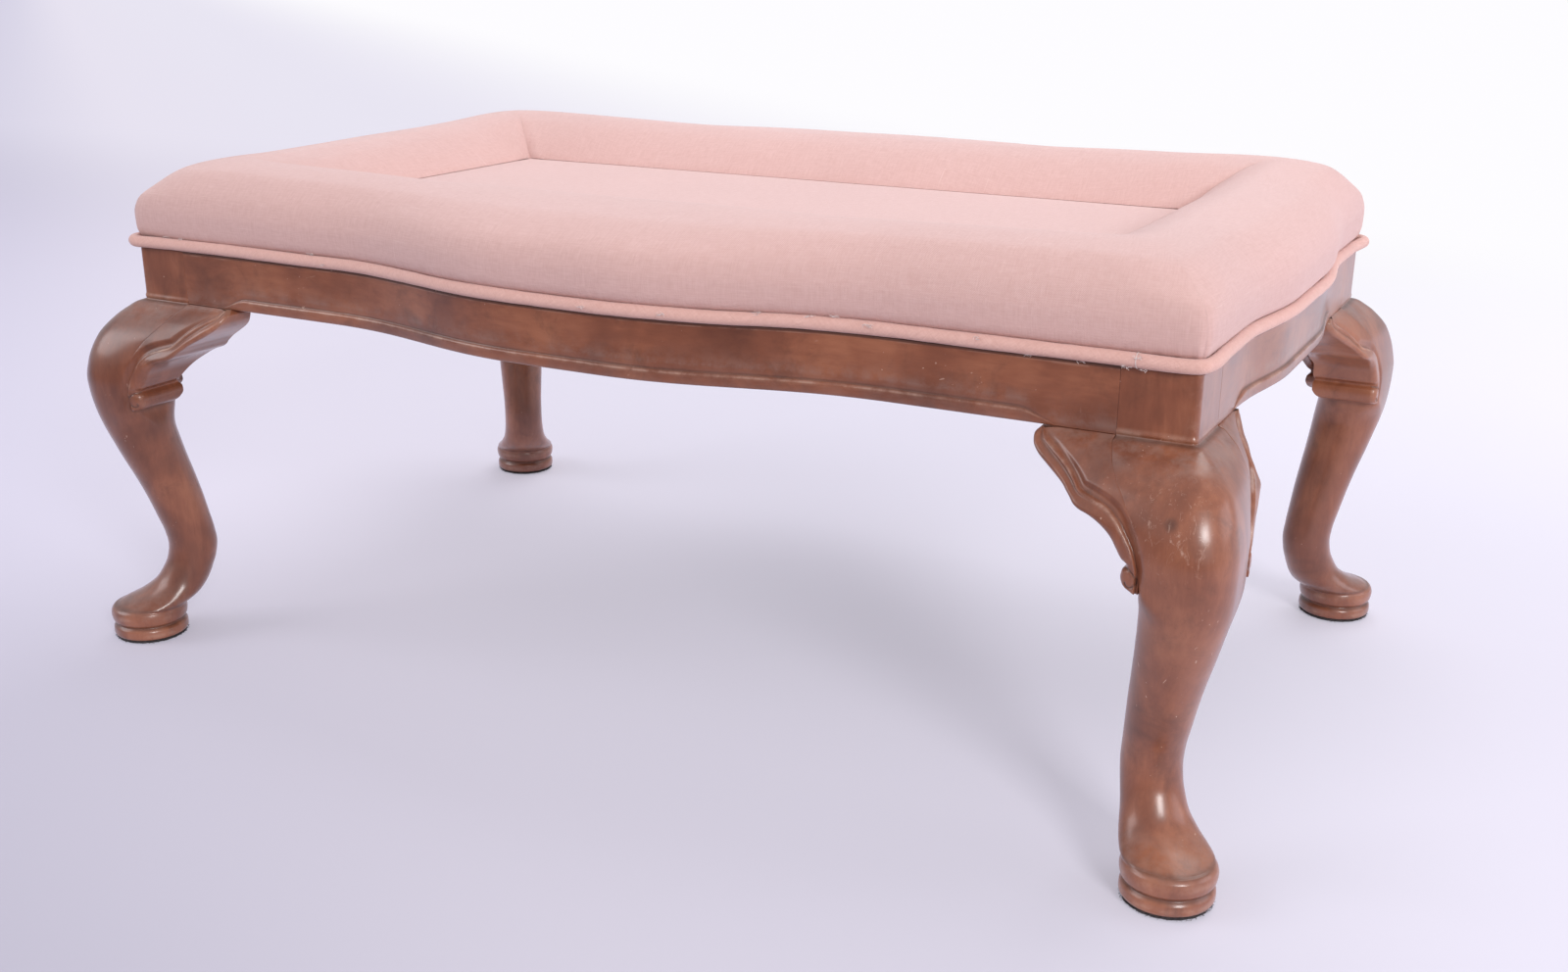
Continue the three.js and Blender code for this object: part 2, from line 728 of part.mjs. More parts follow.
function onStation(station, place) {
  const outerRun = station.edge.distanceTo(station.crest);
  if (place <= outerRun) return station.edge.clone().lerp(station.crest, place / outerRun);
  const innerRun = station.crest.distanceTo(station.well);
  return station.crest.clone().lerp(station.well, (place - outerRun) / innerRun);
}

// Neighbouring covers and rolls keep a gap at their mitres
function mitreShift(i, count) {
  if (i === 0) return jointGap;
  return i === count - 1 ? -jointGap : 0;
}

function borderGrid(rail, inset, mapping) {
  const stations = padStations(rail);
  return stations.map((station, i) => borderSection(station, inset).map((point) => {
    const plan = onStation(station, point.x);
    return mapping(plan.x + mitreShift(i, stations.length), plan.y, point.y);
  }));
}

function borderCoverGeometry(rail, mapping) {
  return sheet(borderGrid(rail, 0, mapping), borderGrid(rail, coverThickness, mapping));
}

// A foam roll fills the cover down to the board
const rollPickSteps = [1, 2, 3, 4, 5, 6, 8, 10];

function foamRollGeometry(rail, mapping) {
  const stations = padStations(rail);
  const floor = boardTop + jointGap;
  const rings = stations.map((station, i) => {
    const section = borderSection(station, coverThickness + rollGap);
    const ring = rollPickSteps.map((pick) => section[pick]);
    const last = ring[ring.length - 1];
    ring.push(new THREE.Vector2(last.x, floor), new THREE.Vector2(coverThickness + rollGap, floor));
    return ring.map((point) => {
      const plan = onStation(station, point.x);
      return mapping(plan.x + mitreShift(i, stations.length), plan.y, point.y);
    });
  });
  return loft(rings);
}

// The whole outline of the pad moved outwards by a distance, with its own at the corners, as a closed
// plan path
function padOutline(out, cornerOut = out) {
  const path = [];
  const sides = [
    [longRail, (along, away) => [along, halfDepth + away]],
    [endRail, (along, away) => [halfLength + away, -along]],
    [longRail, (along, away) => [-along, -halfDepth - away]],
    [endRail, (along, away) => [-halfLength - away, along]],
  ];
  for (const [rail, mapping] of sides) {
    const points = outlineStations(rail).map(([along, away]) => ({
      plan: new THREE.Vector2(...mapping(along, away)),
      move: THREE.MathUtils.lerp(out, cornerOut, turnShare(rail, along)),
    }));
    path.push(...points.slice(1));
  }
  return path.map(({ plan, move }, i) => {
    const before = path[(i + path.length - 1) % path.length].plan;
    const after = path[(i + 1) % path.length].plan;
    const run = new THREE.Vector2().subVectors(after, before).normalize();
    return new THREE.Vector2(plan.x - run.y * move, plan.y + run.x * move);
  });
}

const pipingSides = 6;

function pipingGeometry() {
  const path = padOutline(pipingProud, pipingCornerProud);
  const rings = path.map((point, i) => {
    const before = path[(i + path.length - 1) % path.length];
    const after = path[(i + 1) % path.length];
    const run = new THREE.Vector2().subVectors(after, before).normalize();
    return Array.from({ length: pipingSides }, (_, side) => {
      const angle = (side + 0.5) / pipingSides * 2 * Math.PI;
      const out = pipingRadius * Math.cos(angle);
      return new THREE.Vector3(
        point.x - run.y * out,
        point.y + run.x * out,
        pipingHeight + pipingRadius * Math.sin(angle),
      );
    });
  });
  return loft(rings, true);
}

function seatBoardGeometry() {
  const shape = new THREE.Shape(padOutline(-boardInset));
  const body = new THREE.ExtrudeGeometry(shape, { depth: boardThickness, bevelEnabled: false });
  body.translate(0, 0, boardUnderside);
  const holes = [];
  for (const signX of [1, -1]) {
    for (const signY of [1, -1]) {
      const x = signX * (halfLength + seatScrewPlace);
      const y = signY * (halfDepth + seatScrewPlace);
      const start = new THREE.Vector3(x, y, boardUnderside - overrun);
      const end = new THREE.Vector3(x, y, boardUnderside + seatScrewBite + screwClearance);
      holes.push(barBetween(start, end, holeRadius, screwSides));
    }
  }
  return joined(body, [], holes);
}

function centreFoamGeometry() {
  const reachX = halfLength - wellInset - jointGap;
  const reachY = halfDepth - wellInset - jointGap;
  const top = wellHeight - panelSink - coverThickness - jointGap;
  const low = new THREE.Vector3(-reachX, -reachY, boardTop + jointGap);
  return boxBetween(low, new THREE.Vector3(reachX, reachY, top));
}

// The sunken panel, a little crowned over its foam
const panelAcrossSteps = 8;
const panelDeepSteps = 6;

function centreCoverGeometry() {
  const reachX = halfLength - wellInset - 2 * jointGap;
  const reachY = halfDepth - wellInset - 2 * jointGap;
  const point = (across, deep, drop) => {
    const crown = panelCrown * (1 - across ** 4) * (1 - deep ** 4);
    return new THREE.Vector3(across * reachX, deep * reachY, wellHeight - panelSink + crown - drop);
  };
  const grid = (drop) => spread(-1, 1, panelAcrossSteps).map((across) => (
    spread(-1, 1, panelDeepSteps).map((deep) => point(across, deep, drop))
  ));
  return sheet(grid(0), grid(coverThickness));
}

// Dust cover under the board, inside the rails and clear of the corner blocks
function dustCoverGeometry() {
  const reachX = halfLength - railThickness - jointGap;
  const reachY = halfDepth - railThickness - jointGap;
  const cornerX = halfLength + blockEnd - jointGap;
  const cornerY = halfDepth + blockEnd - jointGap;
  const outline = [
    [reachX, cornerY],
    [cornerX, reachY],
    [-cornerX, reachY],
    [-reachX, cornerY],
    [-reachX, -cornerY],
    [-cornerX, -reachY],
    [cornerX, -reachY],
    [reachX, -cornerY],
  ];
  const shape = new THREE.Shape(outline.map(([x, y]) => new THREE.Vector2(x, y)));
  const body = new THREE.ExtrudeGeometry(shape, { depth: dustCoverThickness, bevelEnabled: false });
  body.translate(0, 0, boardUnderside - jointGap - dustCoverThickness);
  return body;
}

const feltSides = 16;

function feltPadGeometry() {
  const bottom = new THREE.Vector3(footReach.x, footReach.y, 0);
  const top = new THREE.Vector3(footReach.x, footReach.y, feltThickness - jointGap);
  return barBetween(bottom, top, feltRadius, feltSides);
}

// Corners
const leg = legGeometry();
const longBracket = bracketGeometry('y');
const endBracket = bracketGeometry('x');
const block = blockGeometry();
const longScrew = blockScrewGeometry('x');
const endScrew = blockScrewGeometry('y');
const seatScrew = seatScrewGeometry();
const feltPad = feltPadGeometry();

const corners = [
  ['front_left', -1, -1],
  ['front_right', 1, -1],
  ['back_left', -1, 1],
  ['back_right', 1, 1],
];

for (const [name, signX, signY] of corners) {
  const corner = new THREE.Group();
  corner.position.set(signX * halfLength, signY * halfDepth, 0);
  footstool.add(corner);
  const add = (label, geometry, material) => {
    piece(`${label}_${name}`, mirrored(geometry, signX, signY), material, corner);
  };
  add('leg', leg, mahogany);
  add('long_knee_bracket', longBracket, mahogany);
  add('end_knee_bracket', endBracket, mahogany);
  add('corner_block', block, pine);
  add('long_block_screw', longScrew, steel);
  add('end_block_screw', endScrew, steel);
  add('seat_screw', seatScrew, steel);
  add('felt_pad', feltPad, felt);
}

// Rails, with pilot holes for the block screws
function drilledRail(rail, axis, mapping) {
  const holes = [1, -1].map((end) => {
    const hole = blockScrewHole(axis);
    hole.translate(halfLength, halfDepth, 0);
    return mirrored(hole, axis === 'x' ? end : 1, axis === 'y' ? end : 1);
  });
  return joined(railGeometry(rail, axis, mapping), [], holes);
}

const longRailBody = drilledRail(longRail, 'x', longMapping);
const endRailBody = drilledRail(endRail, 'y', endMapping);
piece('front_rail', mirrored(longRailBody, 1, -1), mahogany, footstool);
piece('back_rail', longRailBody, mahogany, footstool);
piece('left_rail', mirrored(endRailBody, -1, 1), mahogany, footstool);
piece('right_rail', endRailBody, mahogany, footstool);

// Pad
piece('seat_board', seatBoardGeometry(), plywood, footstool);
piece('dust_cover', dustCoverGeometry(), cambric, footstool);
piece('piping', pipingGeometry(), linen, footstool);
piece('center_foam', centreFoamGeometry(), foam, footstool);
piece('center_cover', centreCoverGeometry(), linen, footstool);

const longCover = borderCoverGeometry(longRail, longMapping);
const endCover = borderCoverGeometry(endRail, endMapping);
const longRoll = foamRollGeometry(longRail, longMapping);
const endRoll = foamRollGeometry(endRail, endMapping);
for (const [name, signX, signY, cover, roll] of [
  ['front', 1, -1, longCover, longRoll],
  ['back', 1, 1, longCover, longRoll],
  ['left', -1, 1, endCover, endRoll],
  ['right', 1, 1, endCover, endRoll],
]) {
  piece(`border_cover_${name}`, mirrored(cover, signX, signY), linen, footstool);
  piece(`border_foam_${name}`, mirrored(roll, signX, signY), foam, footstool);
}

export default footstool;
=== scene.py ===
import math

import bpy
import numpy as np
from mathutils import Matrix, Vector


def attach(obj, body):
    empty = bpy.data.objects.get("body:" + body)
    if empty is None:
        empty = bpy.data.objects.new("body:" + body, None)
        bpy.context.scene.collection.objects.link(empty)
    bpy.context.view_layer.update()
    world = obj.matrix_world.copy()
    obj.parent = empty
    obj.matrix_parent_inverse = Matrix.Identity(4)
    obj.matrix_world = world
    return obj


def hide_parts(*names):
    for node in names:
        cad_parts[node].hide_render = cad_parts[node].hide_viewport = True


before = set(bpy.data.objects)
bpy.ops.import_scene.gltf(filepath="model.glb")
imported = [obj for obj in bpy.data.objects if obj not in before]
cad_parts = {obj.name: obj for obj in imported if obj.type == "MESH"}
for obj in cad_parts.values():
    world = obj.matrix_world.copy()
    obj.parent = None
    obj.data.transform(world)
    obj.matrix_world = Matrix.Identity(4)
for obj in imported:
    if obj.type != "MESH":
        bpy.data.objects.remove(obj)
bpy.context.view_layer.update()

# The footstool's own sizes, in millimetres as in the CAD; meshes are written in metres
halfLength = 450
halfDepth = 256
railUnderside = 300
railTop = 344
railThickness = 24
postWidth = 51
postArris = 4.5
jointGap = 0.3
corners = {
    "front_left": (-1, -1),
    "front_right": (1, -1),
    "back_left": (-1, 1),
    "back_right": (1, 1),
}
longRail = {"half": halfLength, "swell": 34, "crownHalf": 20, "fadeHalf": 255}
endRail = {"half": halfDepth, "swell": 10.5, "crownHalf": 40, "fadeHalf": 165}


def clamp01(value):
    return np.clip(value, 0, 1)


def ease(value):
    t = clamp01(value)
    return t * t * (3 - 2 * t)


def lerp(low, high, share):
    return low + (high - low) * share


def bump(value, middle, width):
    return np.exp(-((value - middle) / width) ** 2)


def smoothMax(a, b, reach):
    share = clamp01(0.5 + 0.5 * (a - b) / reach)
    return lerp(b, a, share) + reach * share * (1 - share)


# Slow, repeatable unevenness between -1 and 1 from a few waves that never line up
def wander(a, b, seed):
    total = 0
    for step in range(5):
        turn = seed * 1.7 + step * 2.4
        pitch = 1 + 0.63 * step
        total = total + np.sin(pitch * (a * math.cos(turn) + b * math.sin(turn)) + seed * 3.1 + step)
    return total / 5


# A smooth curve through a table's rows that never overshoots them
def track(rows, column):
    place = np.array([row[0] for row in rows], float)
    value = np.array([row[column] for row in rows], float)
    step = np.diff(place)
    rise = np.diff(value) / step
    slope = np.zeros(len(place))
    same = rise[:-1] * rise[1:] > 0
    total = np.where(same, rise[:-1] + rise[1:], 1)
    slope[1:-1] = np.where(same, 2 * rise[:-1] * rise[1:] / total, 0)
    slope[0] = rise[0]
    slope[-1] = rise[-1]

    def read(where):
        spot = np.clip(np.asarray(where, float), place[0], place[-1])
        i = np.clip(np.searchsorted(place, spot, side="right") - 1, 0, len(step) - 1)
        t = (spot - place[i]) / step[i]
        start = value[i] * (1 + 2 * t) + slope[i] * step[i] * t
        end = value[i + 1] * (3 - 2 * t) + slope[i + 1] * step[i] * (t - 1)
        return start * (1 - t) ** 2 + end * t ** 2

    return read


# One smooth curve for each column after the first
def tracks(rows):
    return [track(rows, column) for column in range(1, len(rows[0]))]


def swellAt(rail, along):
    share = clamp01((np.abs(along) - rail["crownHalf"]) / (rail["fadeHalf"] - rail["crownHalf"]))
    return rail["swell"] * (1 - share ** 3 * (10 - 15 * share + 6 * share ** 2))


# Plan place of a spot that lies along one side and out from its rail's line
def toFrame(along, out, sign, isLong):
    if isLong:
        return np.stack([along, sign * (halfDepth + out)], -1)
    return np.stack([sign * (halfLength + out), along], -1)


# Faces of a grid of points, with the row and column of each corner for its UV
def gridFaces(rows, columns, loopRows=False, loopColumns=False):
    lines = np.arange(rows if loopRows else rows - 1)
    places = np.arange(columns if loopColumns else columns - 1)
    i, j = np.meshgrid(lines, places, indexing="ij")
    corner = [(i, j), (i, j + 1), (i + 1, j + 1), (i + 1, j)]
    spots = np.stack([np.stack([a.ravel(), b.ravel()], -1) for a, b in corner], 1)
    faces = (spots[..., 0] % rows) * columns + spots[..., 1] % columns
    return faces, spots

def addObject(name, data):
    thing = bpy.data.objects.new(name, data)
    bpy.context.scene.collection.objects.link(thing)
    return thing


def shade(mesh, smooth):
    mesh.polygons.foreach_set("use_smooth", [smooth] * len(mesh.polygons))


# One mesh object from points in millimetres, faces and, where given, a UV for each face corner
def makeObject(name, points, faces, uvs=None, fields=None):
    points = np.asarray(points, float).reshape(-1, 3)
    triangles = [group[:, [0, k, k + 1]] for group in faces for k in range(1, group.shape[1] - 1)]
    a, b, c = points[np.concatenate(triangles).T]
    turn = 1 if np.einsum("ij,ij->i", a, np.cross(b, c)).sum() > 0 else -1
    mesh = bpy.data.meshes.new(name)
    rows = [face for group in faces for face in group[:, ::turn].tolist()]
    mesh.from_pydata((points / 1000).tolist(), [], rows)
    if uvs:
        layer = mesh.uv_layers.new(name="cloth")
        spots = np.concatenate([group[:, ::turn].reshape(-1, 2) for group in uvs])
        layer.data.foreach_set("uv", (spots / 1000).ravel())
    for label, values in (fields or {}).items():
        layer = mesh.attributes.new(label, "FLOAT", "POINT")
        layer.data.foreach_set("value", np.asarray(values, float).ravel())
    shade(mesh, True)
    mesh.validate()
    return addObject(name, mesh)


def finishPiece(thing, material, nodes=()):
    thing.data.materials.clear()
    thing.data.materials.append(material)
    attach(thing, "root")
    if nodes:
        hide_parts(*nodes)
    return thing


# A closed skin through rings, its ends closed by fans round their middles
def loft(name, rings, fields=None):
    rings = np.asarray(rings, float)
    rows, columns = rings.shape[:2]
    quads, _ = gridFaces(rows, columns, loopColumns=True)
    points = np.concatenate([rings.reshape(-1, 3), rings[:1].mean(1), rings[-1:].mean(1)])
    start = rows * columns
    last = start - columns
    j = np.arange(columns)
    k = (j + 1) % columns
    low = np.stack([k, j, np.full(columns, start)], 1)
    high = np.stack([last + j, last + k, np.full(columns, start + 1)], 1)
    fields = {label: np.append(values, [0, 0]) for label, values in (fields or {}).items()}
    return makeObject(name, points, [quads, low, high], fields=fields)


# A sheet of cloth between an outer and an inner grid; its cut edge is left out of the smooth shading
def shell(name, outside, inside, uv, fields=None):
    rows, columns = outside.shape[:2]
    quads, spots = gridFaces(rows, columns)
    back = rows * columns
    points = np.concatenate([outside.reshape(-1, 3), inside.reshape(-1, 3)])
    index = np.arange(back).reshape(rows, columns)
    around = np.concatenate([index[0, :-1], index[:-1, -1], index[-1, :0:-1], index[:0:-1, 0]])
    following = np.roll(around, -1)
    rim = np.stack([following, around, around + back, following + back], 1)
    cornerUv = uv[spots[..., 0], spots[..., 1]]
    rimUv = uv.reshape(-1, 2)[np.stack([following, around, around, following], 1)]
    both = {label: np.tile(np.asarray(values).ravel(), 2) for label, values in (fields or {}).items()}
    faces = [quads, quads[:, ::-1] + back, rim]
    thing = makeObject(name, points, faces, [cornerUv, cornerUv[:, ::-1], rimUv], both)
    onRim = np.isin(np.arange(2 * back), [around, around + back])
    ends = np.empty(len(thing.data.edges) * 2, np.int32)
    thing.data.edges.foreach_get("vertices", ends)
    ends = ends.reshape(-1, 2)
    sharp = onRim[ends].all(1) & ((ends[:, 0] < back) == (ends[:, 1] < back))
    layer = thing.data.attributes.new("sharp_edge", "BOOLEAN", "EDGE")
    layer.data.foreach_set("value", sharp)
    return thing


def mirroredPoints(points, signX, signY):
    return np.asarray(points) * [signX, signY, 1]


def roundAngles(count):
    return np.linspace(0, 2 * math.pi, count, endpoint=False)


def circle(radius, angle, level):
    return np.stack([radius * np.cos(angle), radius * np.sin(angle), level + 0 * angle], 1)


# A round section carried along a path, between the path's outward direction and a fixed one
def sweep(path, outward, fixed, radius, angle):
    out = (radius[:, None] * np.cos(angle))[..., None]
    over = (radius[:, None] * np.sin(angle))[..., None]
    return path[:, None] + outward[:, None] * out + np.array(fixed) * over


# A shader socket that takes part in ordinary sums
class Wire:
    def __init__(self, graph, socket):
        self.graph = graph
        self.socket = socket

    def __add__(self, other):
        return self.graph.maths("ADD", self, other)

    def __radd__(self, other):
        return self.graph.maths("ADD", other, self)

    def __sub__(self, other):
        return self.graph.maths("SUBTRACT", self, other)

    def __rsub__(self, other):
        return self.graph.maths("SUBTRACT", other, self)

    def __mul__(self, other):
        return self.graph.maths("MULTIPLY", self, other)

    def __rmul__(self, other):
        return self.graph.maths("MULTIPLY", other, self)


# A socket by its number, identifier or name
def pick(sockets, key):
    if isinstance(key, int):
        return sockets[key]
    return [socket for socket in sockets if key in (socket.identifier, socket.name)][0]


# The nodes of one material or world
class Graph:
    def __init__(self, owner, output="ShaderNodeOutputMaterial"):
        owner.use_nodes = True
        self.owner = owner
        self.tree = owner.node_tree
        self.tree.nodes.clear()
        self.output = self.tree.nodes.new(output)

    # One node; take names the output wanted, or several of them in a tuple
    def node(self, kind, settings=None, inputs=None, take=0):
        made = self.tree.nodes.new(kind)
        for key, value in (settings or {}).items():
            setattr(made, key, value)
        for key, value in (inputs or {}).items():
            socket = pick(made.inputs, key)
            if isinstance(value, Wire):
                self.tree.links.new(value.socket, socket)
            else:
                socket.default_value = value
        if isinstance(take, tuple):
            return [Wire(self, pick(made.outputs, key)) for key in take]
        return Wire(self, pick(made.outputs, take))

    def finish(self, surface):
        self.tree.links.new(surface.socket, self.output.inputs["Surface"])
        return self.owner

    def principled(self, inputs):
        return self.finish(self.node("ShaderNodeBsdfPrincipled", {}, inputs))

    def maths(self, operation, *values, clamped=False):
        settings = {"operation": operation, "use_clamp": clamped}
        return self.node("ShaderNodeMath", settings, dict(enumerate(values)))

    def clamped(self, value):
        return self.maths("MULTIPLY", value, 1, clamped=True)

    def vectorMaths(self, operation, inputs, take="Vector"):
        return self.node("ShaderNodeVectorMath", {"operation": operation}, inputs, take)

    def axes(self, vector):
        return self.node("ShaderNodeSeparateXYZ", {}, {0: vector}, (0, 1, 2))

    def between(self, value, low, high):
        inputs = {"Value": value, "From Min": low, "From Max": high}
        return self.node("ShaderNodeMapRange", {"interpolation_type": "SMOOTHSTEP"}, inputs)

    def blend(self, share, first, second):
        inputs = {"Factor_Float": share, "A_Color": first, "B_Color": second}
        return self.node("ShaderNodeMix", {"data_type": "RGBA"}, inputs, "Result_Color")

    def tinted(self, color, factor):
        return self.vectorMaths("SCALE", {"Vector": color, "Scale": factor})

    def noise(self, vector, scale, detail=3, roughness=0.5, distortion=0):
        inputs = {"Vector": vector, "Scale": scale, "Detail": detail, "Roughness": roughness}
        return self.node("ShaderNodeTexNoise", {}, {**inputs, "Distortion": distortion}, "Fac")

    # Noise cut to patches between two of its levels
    def patches(self, low, high, *noise):
        return self.between(self.noise(*noise), low, high)

    def place(self):
        return self.node("ShaderNodeTexCoord", {}, {}, "Object")

    def field(self, label):
        return self.node("ShaderNodeAttribute", {"attribute_name": label}, {}, "Fac")

    def stretched(self, vector, scale, turn=(0, 0, 0), shift=(0, 0, 0)):
        inputs = {"Vector": vector, "Location": shift, "Rotation": turn, "Scale": scale}
        return self.node("ShaderNodeMapping", {"vector_type": "POINT"}, inputs)

    def relief(self, height, distance, strength):
        return self.node("ShaderNodeBump", {}, {"Height": height, "Distance": distance, "Strength": strength})


# Polished red-brown timber: lively, low-contrast grain, pores, scuffs, painted shade in recesses, and edges
# lightened by wear and a painted highlight
woodLook = {
    "dark": (0.105, 0.030, 0.015, 1),
    "base": (0.235, 0.074, 0.035, 1),
    "light": (0.37, 0.135, 0.066, 1),
    # Bare wood in scratches, scuffs and nicks, and also the painted highlight along edges
    "bare": (0.56, 0.36, 0.27, 1),
    "dust": (0.30, 0.215, 0.185, 1),
    # Grime in pores, in patches and in the knee's bruise, and also the painted shade in recesses
    "grimeAndShade": (0.035, 0.014, 0.01, 1),
    "roughness": 0.42,
    "coat": 0.9,
    "coatRoughness": 0.25,
    "grainStretch": 0.24,
    "poreStretch": 0.03,
    "scratchStretch": 0.02,
    "kneeMark": (0.450, -0.3015, 0.262),
}


def stretchAlong(along, share):
    return [share if axis == along else 1 for axis in "xyz"]


def makeWood(name, along, scuffing=1.0, marked=False):
    graph = Graph(bpy.data.materials.new(name))
    place = graph.place()
    grainPlace = graph.stretched(place, stretchAlong(along, woodLook["grainStretch"]))
    figure = graph.noise(grainPlace, 30, 4, 0.55, 0.9)
    grain = graph.noise(grainPlace, 210, 5, 0.62, 0.35)
    pores = graph.noise(graph.stretched(place, stretchAlong(along, woodLook["poreStretch"])), 1500, 2)
    blotch = graph.noise(place, 12, 3, 0.55, 0.3)
    tone = figure * 0.34 + grain * 0.17 + blotch * 0.7 - 0.105
    color = graph.blend(graph.between(tone, 0.2, 0.56), woodLook["dark"], woodLook["base"])
    color = graph.blend(graph.between(tone, 0.45, 0.72), color, woodLook["light"])
    color = graph.blend(graph.between(pores, 0.62, 0.78) * 0.22, color, woodLook["grimeAndShade"])
    color = graph.blend(graph.patches(0.5, 0.72, place, 24, 5, 0.68, 0.6) * 0.32, color, woodLook["grimeAndShade"])
    # Painted shade: the recess field darkens grooves, creases, the carved hollows' lines and the rails' tops
    # under the piping
    recess = graph.field("recess")
    recessShade = graph.clamped(recess * (0.55 + blotch * 0.6))
    color = graph.blend(recessShade * 0.8, color, woodLook["grimeAndShade"])
    dusty = graph.clamped(graph.patches(0.35, 0.65, place, 60, 5, 0.7) * graph.field("dust"))
    color = graph.blend(dusty * 0.5, color, woodLook["dust"])
    # Painted highlight with wear: the edge field lightens arrises, lips, the bead's top and the band's line
    # towards bare wood
    wearAndHighlight = graph.clamped(graph.field("edge") * graph.patches(0.4, 0.66, place, 46, 5, 0.7))
    color = graph.blend(wearAndHighlight * 0.55, color, woodLook["bare"])
    scratches = scratchMask(graph, place, along) * scuffing
    scuffs = graph.patches(0.66, 0.8, place, 85, 6, 0.74, 0.6) * graph.patches(0.52, 0.66, place, 9, 2)
    scuffs = scuffs * scuffing
    nicks = graph.patches(0.775, 0.81, place, 260, 2) * scuffing
    pale = graph.clamped(scratches * 0.5 + scuffs * 0.3 + nicks * 0.7)
    if marked:
        away = graph.vectorMaths("DISTANCE", {0: place, 1: woodLook["kneeMark"]}, "Value")
        bruise = 1 - graph.between(away, 0.0015, 0.0065)
        color = graph.blend(bruise * 0.55, color, woodLook["grimeAndShade"])
        drawn = graph.stretched(place, (1, 1, 0.5), (0, 0.6, 0))
        rubbed = graph.patches(0.55, 0.7, drawn, 170, 6, 0.8, 1.4) * (1 - graph.between(away, 0.012, 0.046))
        pale = graph.clamped(pale + rubbed * 0.65)
    color = graph.blend(pale, color, woodLook["bare"])
    rough = woodLook["roughness"] + (blotch - 0.5) * 0.16 + pale * 0.25 + recess * 0.2 + (grain - 0.5) * 0.08
    height = grain * 0.3 + pores * 0.2 - scratches * 0.5 - nicks * 0.8
    waves = {"Height": graph.noise(place, 26, 2), "Distance": 0.0012, "Strength": 0.16}
    return graph.principled({
        "Base Color": color,
        "Roughness": rough,
        "Specular IOR Level": 0.3,
        "Coat Weight": woodLook["coat"],
        "Coat Roughness": woodLook["coatRoughness"],
        "IOR": 1.5,
        "Normal": graph.node("ShaderNodeBump", {}, {**waves, "Normal": graph.relief(height, 0.0004, 0.22)}),
    })


# Long fine scratches in two directions, broken up so that only a few show
def scratchMask(graph, place, along):
    total = 0
    for turn, seed in ((0.25, 1), (-0.6, 2)):
        turned = graph.stretched(place, (1, 1, 1), (turn, turn * 0.7, turn * 1.3), (seed, seed * 2, seed * 3))
        drawn = graph.stretched(turned, stretchAlong(along, woodLook["scratchStretch"]))
        lines = graph.patches(0.735, 0.76, drawn, 420, 1, 0.4)
        total = lines * graph.patches(0.6, 0.68, turned, 17, 2) + total
    return total


# Dusty salmon linen: plain weave, thick and thin yarns both ways, pale slubs and slow fading
linenLook = {
    "base": (0.72, 0.484, 0.446, 1),
    "yarn": (0.625, 0.385, 0.345, 1),
    "slub": (0.86, 0.67, 0.63, 1),
    "seamShade": (0.36, 0.18, 0.15, 1),
    "pitch": 0.62,
    "yarnStretch": 0.05,
    "slubStretch": 0.035,
}


def makeLinen(name, bias=0.0, depth=1.0, tint=(1, 1, 1)):
    graph = Graph(bpy.data.materials.new(name))
    uv = graph.node("ShaderNodeUVMap", {"uv_map": "cloth"})
    turned = graph.stretched(uv, (1, 1, 1), (0, 0, bias))
    u, v, _ = graph.axes(turned)
    pitch = 1000 * math.pi / linenLook["pitch"]
    drift = graph.noise(turned, 120, 2) * 1.2
    weave = graph.maths("SINE", u * pitch + drift) * graph.maths("SINE", v * pitch + drift)
    yarn, slub = linenLook["yarnStretch"], linenLook["slubStretch"]
    upright = graph.noise(graph.stretched(turned, (1, yarn, 1)), 1250, 2, 0.6)
    level = graph.noise(graph.stretched(turned, (yarn, 1, 1)), 1250, 2, 0.6)
    mottle = graph.noise(uv, 260, 4, 0.7)
    place = graph.place()
    # Slow fading at random, and the colour made lighter towards the back of the pad
    fade = graph.noise(place, 5) + graph.between(graph.axes(place)[1], -0.25, 0.1) * 0.7
    yarns = graph.between(upright * 0.38 + level * 0.38 + mottle * 0.3, 0.34, 0.74)
    color = graph.blend(yarns, linenLook["yarn"], linenLook["base"])
    slubUp = graph.stretched(turned, (1, slub, 1), (0, 0, 0), (3, 7, 0))
    slubAcross = graph.stretched(turned, (slub, 1, 1), (0, 0, 0), (9, 4, 0))
    slubs = graph.patches(0.74, 0.8, slubUp, 520, 1) + graph.patches(0.75, 0.81, slubAcross, 520, 1)
    slubs = graph.clamped(slubs)
    color = graph.blend(slubs * 0.3, color, linenLook["slub"])
    color = graph.tinted(color, 0.925 + fade * 0.09 + weave * 0.025)
    color = graph.vectorMaths("MULTIPLY", {0: color, 1: tint})
    # Painted shade: the recess field darkens the cloth along its seams and on the piping's inner side
    color = graph.blend(graph.clamped(graph.field("recess")) * 0.35, color, linenLook["seamShade"])
    height = weave * 0.5 + upright * 0.6 + level * 0.6 + slubs * 0.5
    return graph.principled({
        "Base Color": color,
        "Roughness": 0.94,
        "Specular IOR Level": 0.2,
        "Sheen Weight": 0.3,
        "Sheen Roughness": 0.5,
        "Sheen Tint": (1.0, 0.97, 1.0, 1),
        "Normal": graph.relief(height, 0.00028 * depth, 0.55),
    })


